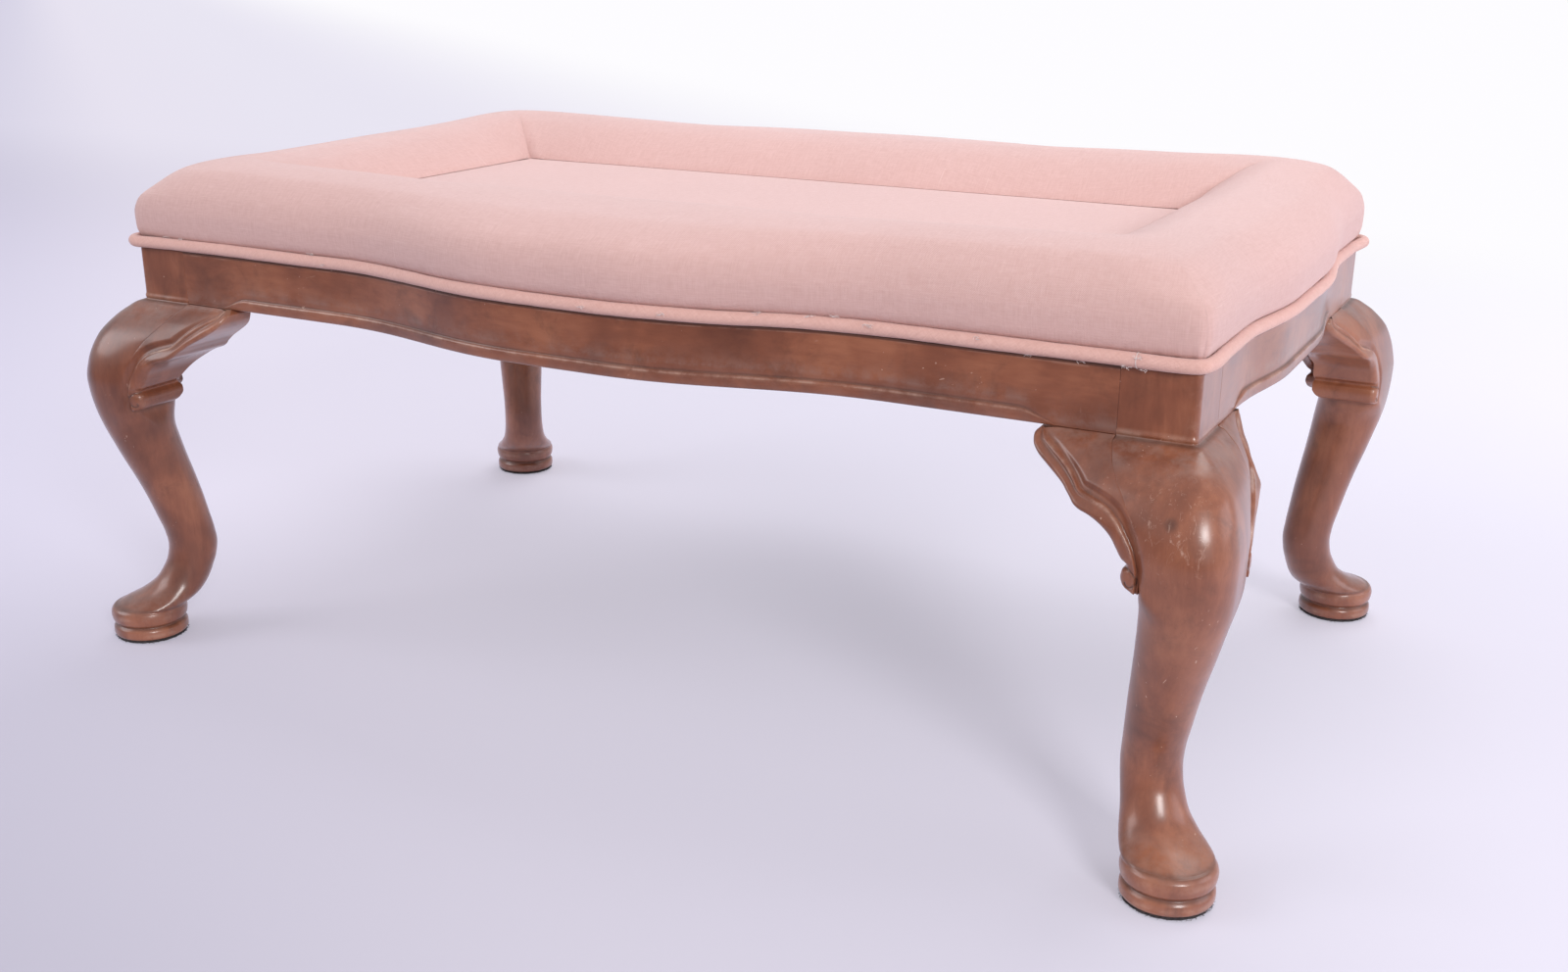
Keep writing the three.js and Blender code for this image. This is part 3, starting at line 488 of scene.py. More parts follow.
# Plain surfaces: dark and light tone, noise scale and stretch, roughness, relief in metres, metallic
plainLooks = {
    "foam_open_cell": ((0.62, 0.54, 0.30, 1), (0.90, 0.84, 0.60, 1), 240, (1, 1, 1), 0.9, 0.0007, 0),
    "plywood_sanded": ((0.42, 0.27, 0.14, 1), (0.68, 0.50, 0.31, 1), 24, (0.12, 1, 1), 0.7, 0.0003, 0),
    "pine_sawn": ((0.46, 0.27, 0.12, 1), (0.74, 0.53, 0.30, 1), 30, (0.3, 0.3, 1), 0.7, 0.0004, 0),
    "felt_pressed": ((0.012, 0.01, 0.012, 1), (0.07, 0.058, 0.06, 1), 420, (1, 1, 1), 0.95, 0.0008, 0),
    "cambric_black": ((0.012, 0.011, 0.011, 1), (0.045, 0.042, 0.04, 1), 700, (1, 1, 0.2), 0.9, 0.0003, 0),
    "steel_zinc": ((0.42, 0.41, 0.38, 1), (0.70, 0.69, 0.66, 1), 300, (1, 1, 1), 0.34, 0.0001, 1),
    "lint_pale": ((0.62, 0.50, 0.47, 1), (0.88, 0.80, 0.78, 1), 900, (1, 1, 1), 0.95, 0.0002, 0),
    "thread_white": ((0.70, 0.66, 0.64, 1), (0.9, 0.88, 0.86, 1), 900, (1, 1, 1), 0.8, 0.0002, 0),
}


def makePlain(name, dark, light, scale, stretch, roughness, depth, metallic):
    graph = Graph(bpy.data.materials.new(name))
    place = graph.stretched(graph.place(), stretch)
    coarse = graph.noise(place, scale, 4, 0.6, 0.3)
    fine = graph.noise(place, scale * 9, 3, 0.6)
    return graph.principled({
        "Base Color": graph.blend(graph.between(coarse * 0.6 + fine * 0.4, 0.32, 0.68), dark, light),
        "Roughness": roughness + (fine - 0.5) * 0.2,
        "Metallic": metallic,
        "Normal": graph.relief(coarse * 0.4 + fine * 0.6, depth, 0.6),
    })


uprightWood = makeWood("mahogany_upright", "z")
markedWood = makeWood("mahogany_marked", "z", 1.3, True)
longWood = makeWood("mahogany_long", "x")
crossWood = makeWood("mahogany_cross", "y")
coverLinen = makeLinen("linen_cover")
pipingLinen = makeLinen("linen_bias", math.radians(45), 1.3, (1.1, 1.03, 0.97))
plain = {name.split("_")[0]: makePlain(name, *look) for name, look in plainLooks.items()}
print("materials made")

# Legs. Shin rows: height share of 300 mm, lean from the post's middle to the foot's, radius share.
kneeProud = (38.5, 53)
kneeArcRadius = 28
footReach = (12.5, 25)
shinRadius = 29.4
footRadius = 32
footHeight = 29
feltThickness = 3
shinShares = [
    [0.08, 1, 0.97], [0.094, 0.96, 1.03], [0.105, 0.87, 1.02], [0.12, 0.73, 0.94], [0.137, 0.62, 0.86],
    [0.16, 0.51, 0.775], [0.19, 0.425, 0.73], [0.227, 0.35, 0.705], [0.267, 0.32, 0.7],
    [0.307, 0.345, 0.705], [0.357, 0.405, 0.735], [0.42, 0.485, 0.775], [0.483, 0.58, 0.82],
    [0.54, 0.675, 0.87], [0.603, 0.77, 0.925], [0.667, 0.86, 0.98],
]
# Knee rows: height share, how proud the end face and the long face stand, inner flank, then radii of the
# outer corner, the corners beside the brackets and the inner corner
kneeShares = [
    [0.683, 0.95, 0.9, 0.38, 1, 0.6, 0.92], [0.704, 0.97, 0.925, 0.35, 1, 0.12, 0.87],
    [0.727, 0.985, 0.95, 0.345, 1, 0.02, 0.83], [0.783, 1, 0.99, 0.355, 1, 0.003, 0.75],
    [0.84, 0.94, 0.95, 0.43, 1, 0.003, 0.6], [0.907, 0.78, 0.78, 0.65, 0.9, 0.003, 0.4],
    [0.957, 0.485, 0.485, 0.88, 0.6, 0.003, 0.2], [0.98, 0.27, 0.27, 0.96, 0.35, 0.02, 0.1],
    [0.994, 0.11, 0.11, 1, 0.18, 0.02, 0.083], [1, 0, 0, 1, 0.09, 0.02, 0.083],
]
# Turned foot: radius share by height share of its disc
footShares = [
    [0.1, 0.935], [0.13, 0.96], [0.2, 0.98], [0.34, 0.975], [0.43, 0.93], [0.475, 0.893], [0.52, 0.925],
    [0.6, 0.975], [0.78, 1], [0.9, 0.978], [0.98, 0.925], [1, 0.9],
]
legDetail = {"ringPoints": 150, "arcPoints": 24, "faceSteps": 30, "spread": (0.5, 0.28, 0.22),
             "creaseDepth": 0.8, "creaseWidth": 0.9, "creaseDrop": 0.9, "lip": 0.9, "lipRise": 2,
             "lipWidth": 1.9, "blendLow": 178, "blendHigh": 242, "blendReach": 7.5, "blendFade": 16,
             "footSink": 12, "footMeet": 1.1, "footStep": 0.6, "discStep": 0.22, "shinStep": 2.1,
             "topStep": 0.55}
flankFall = 0.1  # how far the knee's faces fall back towards the brackets, as a share


def legRows():
    rows = []
    for heightShare, lean, radiusShare in shinShares:
        radius = shinRadius * radiusShare
        middle = [lerp(-postWidth / 2, reach, lean) for reach in footReach]
        low = [value - radius for value in middle]
        high = [value + radius for value in middle]
        rows.append([heightShare * railUnderside, *low, *high, radius, radius, radius, radius, 0])
    for heightShare, endProud, longProud, flank, outer, side, inner in kneeShares:
        radii = [share * kneeArcRadius for share in (outer, side, inner, side)]
        radii[0] = max(radii[0], postArris)
        low = -flank * postWidth
        high = [endProud * kneeProud[0], longProud * kneeProud[1]]
        rows.append([heightShare * railUnderside, low, low, *high, *radii, flankFall * (1 - side)])
    rows.append([railTop, *rows[-1][1:]])
    return rows


# The knee's section runs into the shin's without a step
def smoothTrack(column):
    height = np.arange(0, railTop + 1, 1.0)
    value = track(legRows(), column)(height)
    weight = np.exp(-((height[:, None] - height) / legDetail["blendReach"]) ** 2 / 2)
    soft = weight @ value / weight.sum(1)
    low, high, fade = legDetail["blendLow"], legDetail["blendHigh"], legDetail["blendFade"]
    share = ease((height - low) / fade) * (1 - ease((height - high + fade) / fade))
    rows = np.column_stack([height, lerp(value, soft, share)])
    return lambda where: np.interp(where, rows[:, 0], rows[:, 1])


legTracks = [smoothTrack(column) for column in range(1, 10)]
kneeTracks = tracks(kneeShares)


# Knee brackets: drop, width at the outer edge and at the band's inner line, how proud the outer edge
# stands on the long side and on the end, and the back on the long side and on the end, as shares of
# drop, width, knee and rail
bracketWidth = 103
bracketDrop = 89
bandRelief = 1.9
deepRoll = 0.78  # how much deeper the right-hand end brackets' scrolls are, as a share of rail thickness
bracketShares = [
    [0, 0.961, 0.94, 0.05, 0.01, 0.75, 0.75], [0.044, 0.991, 0.905, 0.167, 0.04, 0.76, 0.78],
    [0.096, 0.978, 0.825, 0.265, 0.09, 0.78, 0.8], [0.153, 0.935, 0.748, 0.351, 0.17, 0.88, 0.85],
    [0.217, 0.86, 0.682, 0.424, 0.312, 0.98, 0.9], [0.273, 0.782, 0.635, 0.51, 0.423, 1, 0.95],
    [0.318, 0.721, 0.597, 0.588, 0.527, 1, 1], [0.345, 0.694, 0.524, 0.633, 0.58, 0.98, 1],
    [0.375, 0.664, 0.445, 0.676, 0.644, 0.98, 0.98], [0.419, 0.625, 0.372, 0.737, 0.74, 1, 0.95],
    [0.444, 0.588, 0.35, 0.765, 0.771, 1, 0.93], [0.47, 0.523, 0.326, 0.784, 0.795, 0.97, 0.91],
    [0.518, 0.448, 0.296, 0.802, 0.82, 0.84, 0.88], [0.6, 0.372, 0.25, 0.806, 0.83, 0.45, 0.5],
    [0.671, 0.336, 0.218, 0.8, 0.84, 0.15, 0.2], [0.745, 0.296, 0.197, 0.796, 0.85, -0.03, 0],
    [0.768, 0.264, 0.191, 0.796, 0.855, 0, -0.02], [0.786, 0.259, 0.188, 0.796, 0.857, 0.06, 0],
    [0.816, 0.287, 0.186, 0.796, 0.86, 0.12, 0.02], [0.866, 0.296, 0.186, 0.796, 0.865, 0.11, 0.02],
    [0.92, 0.285, 0.19, 0.786, 0.865, -0.02, -0.08], [0.955, 0.258, 0.192, 0.778, 0.865, -0.2, -0.24],
    [0.972, 0.214, 0.193, 0.776, 0.865, -0.38, -0.4],
]
# Across the band: place from its outer edge to its inner line, relief above the face below the cusp,
# and relief above the cusp, where a second, narrow ridge runs along the first
bandShares = [
    [0, -1.7, -1.7], [0.04, -0.75, -0.8], [0.1, -0.1, -0.2], [0.2, 0.5, 0.45], [0.34, 0.9, 0.8],
    [0.48, 1.05, 0.62], [0.6, 1.05, 0.25], [0.7, 0.98, 0.3], [0.8, 0.95, 0.85], [0.88, 1.05, 1.05],
    [0.94, 0.9, 0.9], [1, 0.1, 0.1],
]
# The hollow along the band's inner line: drop share, width, depth
hollowRows = [
    [0, 3, 1.1], [0.12, 4.2, 1.7], [0.3, 6.5, 2.4], [0.45, 8, 2.7], [0.65, 7.5, 2.6], [0.85, 6, 2.1],
    [1, 5, 1.2],
]
bracketTracks = tracks(bracketShares)
bandTracks = tracks(bandShares)
hollowTracks = tracks(hollowRows)
bracketDetail = {"levels": 170, "bandColumns": 40, "fieldColumns": 26, "cuspDrop": 0.345, "cuspFade": 0.08,
                 "rollDrop": 0.5, "rollFade": 0.25, "flankGap": 0.04}
# The slit's curl: radius, turning in degrees, middle as shares of width and drop
curlDetail = {"points": 30, "turn": 0.8, "inner": 1.2, "reach": 8.2, "start": 80, "turning": 330,
              "across": 0.24, "down": 0.895, "width": 0.75}


# Distance from each point to a path, and how far along the path its nearest spot lies, as a share
def pathNear(points, path):
    best = np.full(points.shape[:-1], 1e9)
    place = np.zeros(points.shape[:-1])
    for step, (start, end) in enumerate(zip(path[:-1], path[1:])):
        run = end - start
        share = clamp01(((points - start) @ run) / (run @ run))
        gap = np.linalg.norm(points - start - share[..., None] * run, axis=-1)
        place = np.where(gap < best, (step + share) / (len(path) - 1), place)
        best = np.minimum(best, gap)
    return best, place


def bandLine():
    drop = np.linspace(0, bracketShares[-1][0], 120)
    height = railUnderside - jointGap - drop * bracketDrop
    flank = kneeTracks[2](height / railUnderside) * postWidth
    line = np.maximum(bracketTracks[1](drop) * bracketWidth, flank + 1)
    return np.stack([line, height], 1)


# How deep the carver's hollow lies below the face at a place beside the corner; it runs from the bracket over
# the joint on to the leg. It also gives how near the place lies to the band's line, where shade is painted
def hollowAt(along, height):
    gap, drop = pathNear(np.stack([along, height], -1), bandLine())
    width, depth = hollowTracks[0](drop), hollowTracks[1](drop)
    share = gap / width
    ends = ease((railUnderside - height - 0.5) / 3) * ease((height - railUnderside + bracketDrop + 10) / 12)
    return depth * (1 - ease((share - 0.25) / 0.75)) * ends, np.exp(-(gap / 1.3) ** 2) * ends


# Ring of the leg at a height; points are spread by length, by turn and towards the flanks
def legRing(height):
    lowX, lowY, highX, highY, *radii, fall = [read(height) for read in legTracks]
    arcs = legDetail["arcPoints"]
    spots = [(highX, highY, 1, 1), (lowX, highY, -1, 1), (lowX, lowY, -1, -1), (highX, lowY, 1, -1)]
    centers = [(x - signX * radius, y - signY * radius) for (x, y, signX, signY), radius in zip(spots, radii)]
    points = []
    turns = []
    for quarter, center in enumerate(centers):
        angle = (quarter + np.linspace(0, 1, arcs + 1)) * math.pi / 2
        points.append(center + circle(radii[quarter], angle, 0)[:, :2])
        turns.append(angle)
        if quarter in (0, 3):  # the two outer faces get points of their own, so that they can curve
            following = (quarter + 1) % 4
            start = points[-1][-1]
            end = centers[following] + circle(radii[following], angle[-1:], 0)[0, :2]
            share = np.linspace(0, 1, legDetail["faceSteps"] + 2)[1:-1, None]
            points.append(start + (end - start) * share)
            turns.append(np.full(legDetail["faceSteps"], angle[-1]))
    points = np.concatenate(points)
    for axis, high, low, radius in ((0, highX, lowX, radii[0]), (1, highY, lowY, radii[0])):
        other = 1 - axis
        away = clamp01((high - radius - points[:, axis]) / (high - radius - low))
        points[:, other] *= np.where(points[:, other] > 0, 1 - fall * away ** 2, 1)
    points = np.roll(points, -arcs // 2, axis=0)
    turns = np.unwrap(np.roll(np.concatenate(turns), -arcs // 2))
    closed = np.concatenate([points, points[:1]])
    length = np.linalg.norm(np.diff(closed, axis=0), axis=1)
    turning = np.diff(np.append(turns, turns[0] + 2 * math.pi))
    flanks = ((lowX, highY), (highX, lowY))
    near = sum(np.exp(-np.hypot(*(closed[:-1] - flank).T) / 7) for flank in flanks) * length
    byLength, byTurn, byFlank = legDetail["spread"]
    spread = byLength * length / length.sum() + byTurn * turning / (2 * math.pi) + byFlank * near / near.sum()
    place = np.concatenate([[0], np.cumsum(spread)])
    wanted = np.linspace(0, place[-1], legDetail["ringPoints"] + 1)[:-1]
    return np.stack([np.interp(wanted, place, closed[:, axis]) for axis in (0, 1)], 1)


footTrack = track(footShares, 1)


def discRadius(height):
    top = footHeight
    fall = clamp01((height - top) / 1.2)
    return footRadius * footTrack(min(height, top) / footHeight) * math.sqrt(max(1 - fall ** 2, 0))


# Below the ankle the leg's section and the turned disc run into each other
def footRing(height):
    ring = legRing(max(height, 0.08 * railUnderside)) - footReach
    reach = np.linalg.norm(ring, axis=1)
    sink = legDetail["footSink"] * (1 - ease((height - 17) / 9))
    merged = smoothMax(np.full(len(ring), discRadius(height)), reach - sink, legDetail["footMeet"])
    return ring * (merged / reach)[:, None] + footReach


def legHeights():
    low, high = footHeight - 3, 0.95 * railUnderside
    foot = np.arange(feltThickness, low, legDetail["footStep"])
    disc = np.arange(low, footHeight + 2.2, legDetail["discStep"])
    shin = np.arange(footHeight + 2.4, high, legDetail["shinStep"])
    top = np.arange(high, railUnderside + 6, legDetail["topStep"])
    post = [railUnderside + 8, railTop - 12, railTop - 1, railTop - 0.4]
    return np.concatenate([foot, disc, shin, top, post])


# The outer faces sink into the hollow beside each bracket; the flanks behind them stay
def carveLeg(points):
    x, y, height = points[..., 0], points[..., 1], points[..., 2]
    highX, highY = [legTracks[column](height) for column in (2, 3)]
    longDepth, longLine = hollowAt(-x, height)
    endDepth, endLine = hollowAt(-y, height)
    onLong = clamp01((y - 0.8 * highY + 9) / 9)
    onEnd = clamp01((x - 0.8 * highX + 9) / 9)
    points[..., 1] -= longDepth * onLong
    points[..., 0] -= endDepth * onEnd
    return np.maximum(longLine * onLong, endLine * onEnd)


def legSurface():
    rings = []
    recess = []
    edge = []
    dust = []
    for height in legHeights():
        ring = footRing(height) if height < footHeight + 2.3 else legRing(height)
        middle = (ring.min(0) + ring.max(0)) / 2
        crease = bump(height, railUnderside - legDetail["creaseDrop"], legDetail["creaseWidth"])
        lip = bump(height, railUnderside + legDetail["lipRise"], legDetail["lipWidth"])
        away = ring - middle
        away = away / np.linalg.norm(away, axis=1)[:, None]
        x, y = ring.T
        outer = clamp01((x + y) / 6 + 9) * lerp(1, 0.45, ease((x - y) / 6))
        ring = ring + away * ((legDetail["lip"] * lip - legDetail["creaseDepth"] * crease) * outer)[:, None]
        # Painted highlight with wear along the post's outer arris, the post's lip and the foot's disc lips;
        # painted shade in the foot's grooves and the crease under the post
        cornerNear = np.exp(-np.linalg.norm(ring, axis=1) / 3.2) if height > railUnderside else 0
        rings.append(np.column_stack([ring, np.full(len(ring), height)]))
        groove = bump(height, 0.475 * footHeight, 1.7) + 0.75 * bump(height, footHeight + 0.6, 1.2)
        recess.append(np.full(len(ring), 0.8 * groove + 0.9 * crease))
        lips = 0.5 * bump(height, 0.78 * footHeight, 2.5) + 0.5 * bump(height, 0.24 * footHeight, 2.2)
        edge.append(np.full(len(ring), lips + 0.6 * lip) + cornerNear)
        knee = 0.8 * bump(height, railUnderside - 6, 9) if height < railUnderside else 0
        dust.append(np.full(len(ring), knee + 0.5 * bump(height, footHeight + 6, 9)))
    points = np.array(rings)
    line = carveLeg(points)
    # Painted shade along the line of the carved hollow beside each bracket
    fields = {"recess": np.maximum(recess, 0.35 * line), "edge": edge, "dust": dust}
    return points + [halfLength, halfDepth, 0], fields


legPoints, legFields = legSurface()
for corner, (signX, signY) in corners.items():
    leg = loft(f"leg_finished_{corner}", mirroredPoints(legPoints, signX, signY), legFields)
    finishPiece(leg, markedWood if corner == "front_right" else uprightWood, [f"leg_{corner}"])
print("legs made")


# Skin of one bracket, round each level from the back over the carved face; deeper lets its foot reach back
def bracketRings(axis, deeper):
    drop = np.linspace(0, bracketShares[-1][0], bracketDetail["levels"])
    edgeShare, lineShare, longShare, endShare, longBack, endBack = [read(drop) for read in bracketTracks]
    height = railUnderside - jointGap - drop * bracketDrop
    flank = kneeTracks[2](height / railUnderside) * postWidth + bracketDetail["flankGap"]
    edge = edgeShare * bracketWidth
    line = np.maximum(lineShare * bracketWidth, flank + 1)
    flankOut = kneeProud[axis] * kneeTracks[axis](height / railUnderside) * (1 - flankFall)
    edgeOut = kneeProud[axis] * (longShare if axis == 1 else endShare)
    band = lerp(edge[:, None], line[:, None], np.linspace(0, 1, bracketDetail["bandColumns"]))
    field = lerp(line[:, None], flank[:, None], np.linspace(0, 1, bracketDetail["fieldColumns"])[1:])
    along = np.concatenate([band, field], 1)
    level = np.repeat(height[:, None], along.shape[1], 1)
    spot = np.stack([along, level], -1)
    toEdge, _ = pathNear(spot, np.stack([edge, height], 1))
    toLine, _ = pathNear(spot, np.stack([line, height], 1))
    curl, _ = pathNear(spot, curlPath())
    share = toEdge / (toEdge + toLine + 1e-6)
    inBand = np.arange(along.shape[1]) < bracketDetail["bandColumns"]
    fade = bracketDetail["cuspFade"]
    upper = 1 - ease((drop - bracketDetail["cuspDrop"] + fade / 2) / fade)
    ridges = lerp(bandTracks[0](share), bandTracks[1](share), upper[:, None]) * bandRelief
    hollow, dark = hollowAt(along, level)
    sunk = lerp(0.35, 1, ease(share / 0.6)) * hollowAt(line, height)[0][:, None]
    relief = np.where(inBand, ridges - 0.5 * sunk, -hollow) - bump(curl, 0, curlDetail["width"])
    run = (along - flank[:, None]) / (edge - flank)[:, None]
    out = lerp(flankOut[:, None], edgeOut[:, None], run) + relief
    # The band's line and outer edge are lightened as wear and a painted highlight, fading out lower down;
    # painted shade lies along the hollow's line, in the curl's slit and in the groove between the band's
    # ridges
    wearAndHighlight = 1 - ease((drop - 0.68) / 0.1)
    rubbed = np.exp(-(toLine - 1.2) ** 2 / 1.2) * wearAndHighlight[:, None]
    ridge = np.where(inBand, rubbed + 0.3 * np.exp(-toEdge / 2.5), 0)
    recess = np.where(inBand, 0, 0.55 * dark) + 0.8 * bump(curl, 0, 0.9)
    recess = recess + np.where(inBand, 0.5 * upper[:, None] * bump(share, 0.64, 0.07), 0)
    dust = 0.8 * np.exp(-drop * bracketDrop / 9)[:, None] * np.ones_like(along)
    roll = ease((drop - bracketDetail["rollDrop"]) / bracketDetail["rollFade"])
    back = -(((longBack if axis == 1 else endBack) + deeper * roll) * railThickness)[:, None]
    rim = np.array([0.004, 0.02, 0.2, 0.4, 0.6, 0.8, 0.97, 0.995])
    allOut = np.concatenate([back, lerp(back, out[:, :1], rim), out, lerp(out[:, -1:], back, rim), back], 1)
    sideOf = np.ones(len(rim) + 1)
    allAlong = np.concatenate([edge[:, None] * sideOf, along, flank[:, None] * sideOf], 1)
    pads = np.zeros((len(drop), len(rim) + 1))
    fields = {"recess": recess, "edge": ridge, "dust": dust}
    fields = {label: np.concatenate([pads, values, pads], 1) for label, values in fields.items()}
    level = np.repeat(height[:, None], allAlong.shape[1], 1)
    rings = [-allAlong, allOut, level] if axis == 1 else [allOut, -allAlong, level]
    return np.stack(rings, -1), fields


# The slit that curls into the scroll at the foot of each bracket
def curlPath():
    turn = np.linspace(0, curlDetail["turn"], curlDetail["points"])
    radius = curlDetail["inner"] + curlDetail["reach"] * (1 - turn) ** 2
    angle = math.radians(curlDetail["start"]) + turn * math.radians(curlDetail["turning"])
    height = railUnderside - jointGap - curlDetail["down"] * bracketDrop
    return [curlDetail["across"] * bracketWidth, height] + circle(radius, angle, 0)[:, :2]


for axis, label in ((1, "long_knee_bracket"), (0, "end_knee_bracket")):
    for corner, (signX, signY) in corners.items():
        rings, fields = bracketRings(axis, deepRoll if axis == 0 and signX > 0 else 0)
        points = mirroredPoints(rings + [halfLength, halfDepth, 0], signX, signY)
        bracket = loft(f"{label}_carved_{corner}", points, fields)
        finishPiece(bracket, uprightWood, [f"{label}_{corner}"])
print("brackets made")

# Rails with the bead along their lower edge, which runs out beside the brackets
beadHeight = 9
beadProud = 1.8
beadEndInset = 85
beadRun = 32
railDetail = {"station": 3.4, "arris": 0.7, "faceSteps": 14, "shadowDrops": (2.6, 1.9)}
# Across the bead, from the underside up to its quirk: relief share, height share
beadShares = [
    [0.1, 0], [0.55, 0.07], [0.8, 0.2], [0.88, 0.4], [0.95, 0.6], [1.02, 0.76], [1, 0.86], [0.78, 0.94],
    [0.3, 1], [-0.15, 1.05], [-0.2, 1.12], [-0.08, 1.24], [0, 1.4],
]


def railRings(rail):
    reach = rail["half"] - postWidth - 0.08
    stations = np.linspace(-reach, reach, int(2 * reach / railDetail["station"]))
    stations = np.concatenate([[-reach, 0.1 - reach], stations[1:-1], [reach - 0.1, reach]])
    rings = []
    fields = []
    for along in stations:
        face = swellAt(rail, along)
        share = max(ease((reach + postWidth - beadEndInset - abs(along)) / beadRun), 0.06)
        height = beadHeight * share
        section = [(face + reliefShare * beadProud * share, railUnderside + heightShare * height)
                   for reliefShare, heightShare in beadShares]
        # Marks: painted shade in the quirk above the bead, wear and a painted highlight along the bead's top,
        # and dust
        marks = [(0.8 * bump(level, 1.07, 0.08) * share ** 0.5, 0.9 * bump(level, 0.88, 0.1) * share, 0.2)
                 for _, level in beadShares]
        start = section[-1][1]
        arris = railDetail["arris"]
        for faceShare in np.linspace(0, 1, railDetail["faceSteps"])[1:]:
            section.append((face, lerp(start, railTop - arris, faceShare)))
            marks.append((0, 0, np.exp(-faceShare / 0.18)))
        # Painted shadow under the piping: the top of the face and the arris are darkened, with a lighter line
        # of wear and painted highlight just below
        for shadow in railDetail["shadowDrops"]:
            section.insert(-1, (face, railTop - shadow))
        marks[-1:] = [(0, 0.5, 0), (0.8, 0, 0), (0.95, 0, 0)]
        section += [(face - 0.3 * arris, railTop - 0.3 * arris), (face - arris, railTop)]
        back = face - railThickness
        section += [(back + 1, railTop), (back, railTop - 1), (back, railUnderside + 1)]
        section += [(back + 1, railUnderside), (face - 5, railUnderside)]
        marks += [(1, 0, 0), (1, 0, 0)] + [(0, 0, 0)] * 5
        rings.append([(along, out, level) for out, level in section])
        fields.append(marks)
    fields = np.array(fields, float)
    return np.array(rings), dict(zip(("recess", "edge", "dust"), np.moveaxis(fields, -1, 0)))


for name, rail, sign, material in (
    ("front_rail", longRail, -1, longWood),
    ("back_rail", longRail, 1, longWood),
    ("left_rail", endRail, -1, crossWood),
    ("right_rail", endRail, 1, crossWood),
):
    rings, fields = railRings(rail)
    rings[..., :2] = toFrame(rings[..., 0], rings[..., 1], sign, rail is longRail)
    finishPiece(loft(f"{name}_beaded", rings, fields), material, [name])
print("rails made")

# Pad: border covers from mitre to mitre over foam rolls, round a sunken panel
pipingRadius = 4.75
pipingProud = 1.5
pipingCornerProud = 5.5
padCornerRadius = 7.5
padBulge = 6
cornerBulge = 5
cornerBlend = 45
crestInset = 56
crestHeight = railTop + 69.5
cornerLift = 4
wellInset = 118
wellHeight = railTop + 38.5
panelCrown = 2.5
panelSink = 1
coverThickness = 1.3
pipingHeight = railTop + jointGap + pipingRadius
padSeamHeight = pipingHeight + pipingRadius + jointGap
boardTop = railTop + jointGap + 12
padDetail = {"steps": 64, "station": 4.2, "backRise": 3.5, "tuck": 3.5, "tuckDrop": 2.3, "seamDepth": 1.4,
             "puff": 0.7, "pucker": 0.6, "puckerReach": 36, "uneven": 0.6, "unevenPitch": 52,
             "easeFrom": 2.2, "easeFade": 1.5, "foamGap": 3.4}
# Section from the seam to the crest: place (bulge share where negative), height share, lift share, and
# how much lower it lies at a corner
outerShares = [
    [-0.1, 0, 0, 0], [-0.8, 0.13, 0, 0], [-1, 0.35, 0, 0.01], [-0.4, 0.56, 0.15, 0.03],
    [0.12, 0.76, 0.4, 0.06], [0.45, 0.945, 0.9, 0.04], [1, 1, 1, 0],
]
# Section from the crest to the well: place, height share
innerShares = [
    [0.33, 0.87],
    [0.64, 0.56],
    [0.88, 0.2],
    [1, 0],
]


def outlineStations(rail, spacing):
    angle = np.linspace(math.pi / 4, 0, 9)
    along = rail["half"] - padCornerRadius * (1 - np.sin(angle))
    out = -padCornerRadius * (1 - np.cos(angle))
    steps = np.linspace(along[-1], 0, int(along[-1] / spacing))[1:]
    along = np.concatenate([along, steps])
    out = np.concatenate([out, swellAt(rail, steps)])
    return np.stack([np.concatenate([-along[:-1], along[::-1]]), np.concatenate([out[:-1], out[::-1]])], 1)


# One at a mitre, falling to zero where the corner has passed into the side
def turnShare(rail, along):
    start = padCornerRadius * (1 - math.sqrt(0.5))
    return 1 - ease((rail["half"] - np.abs(along) - start) / (cornerBlend - start))


# Stations spread from the straight middle to the mitre, so that they meet it where the border is narrower
def fanned(along, inset, rail):
    mitre = rail["half"] - padCornerRadius * (1 - math.sqrt(0.5))
    square = 0.4 * rail["half"]
    away = np.abs(along)
    share = clamp01((away - square) / (mitre - square))
    return np.sign(along) * np.where(away < square, away, lerp(square, rail["half"] - inset, share))


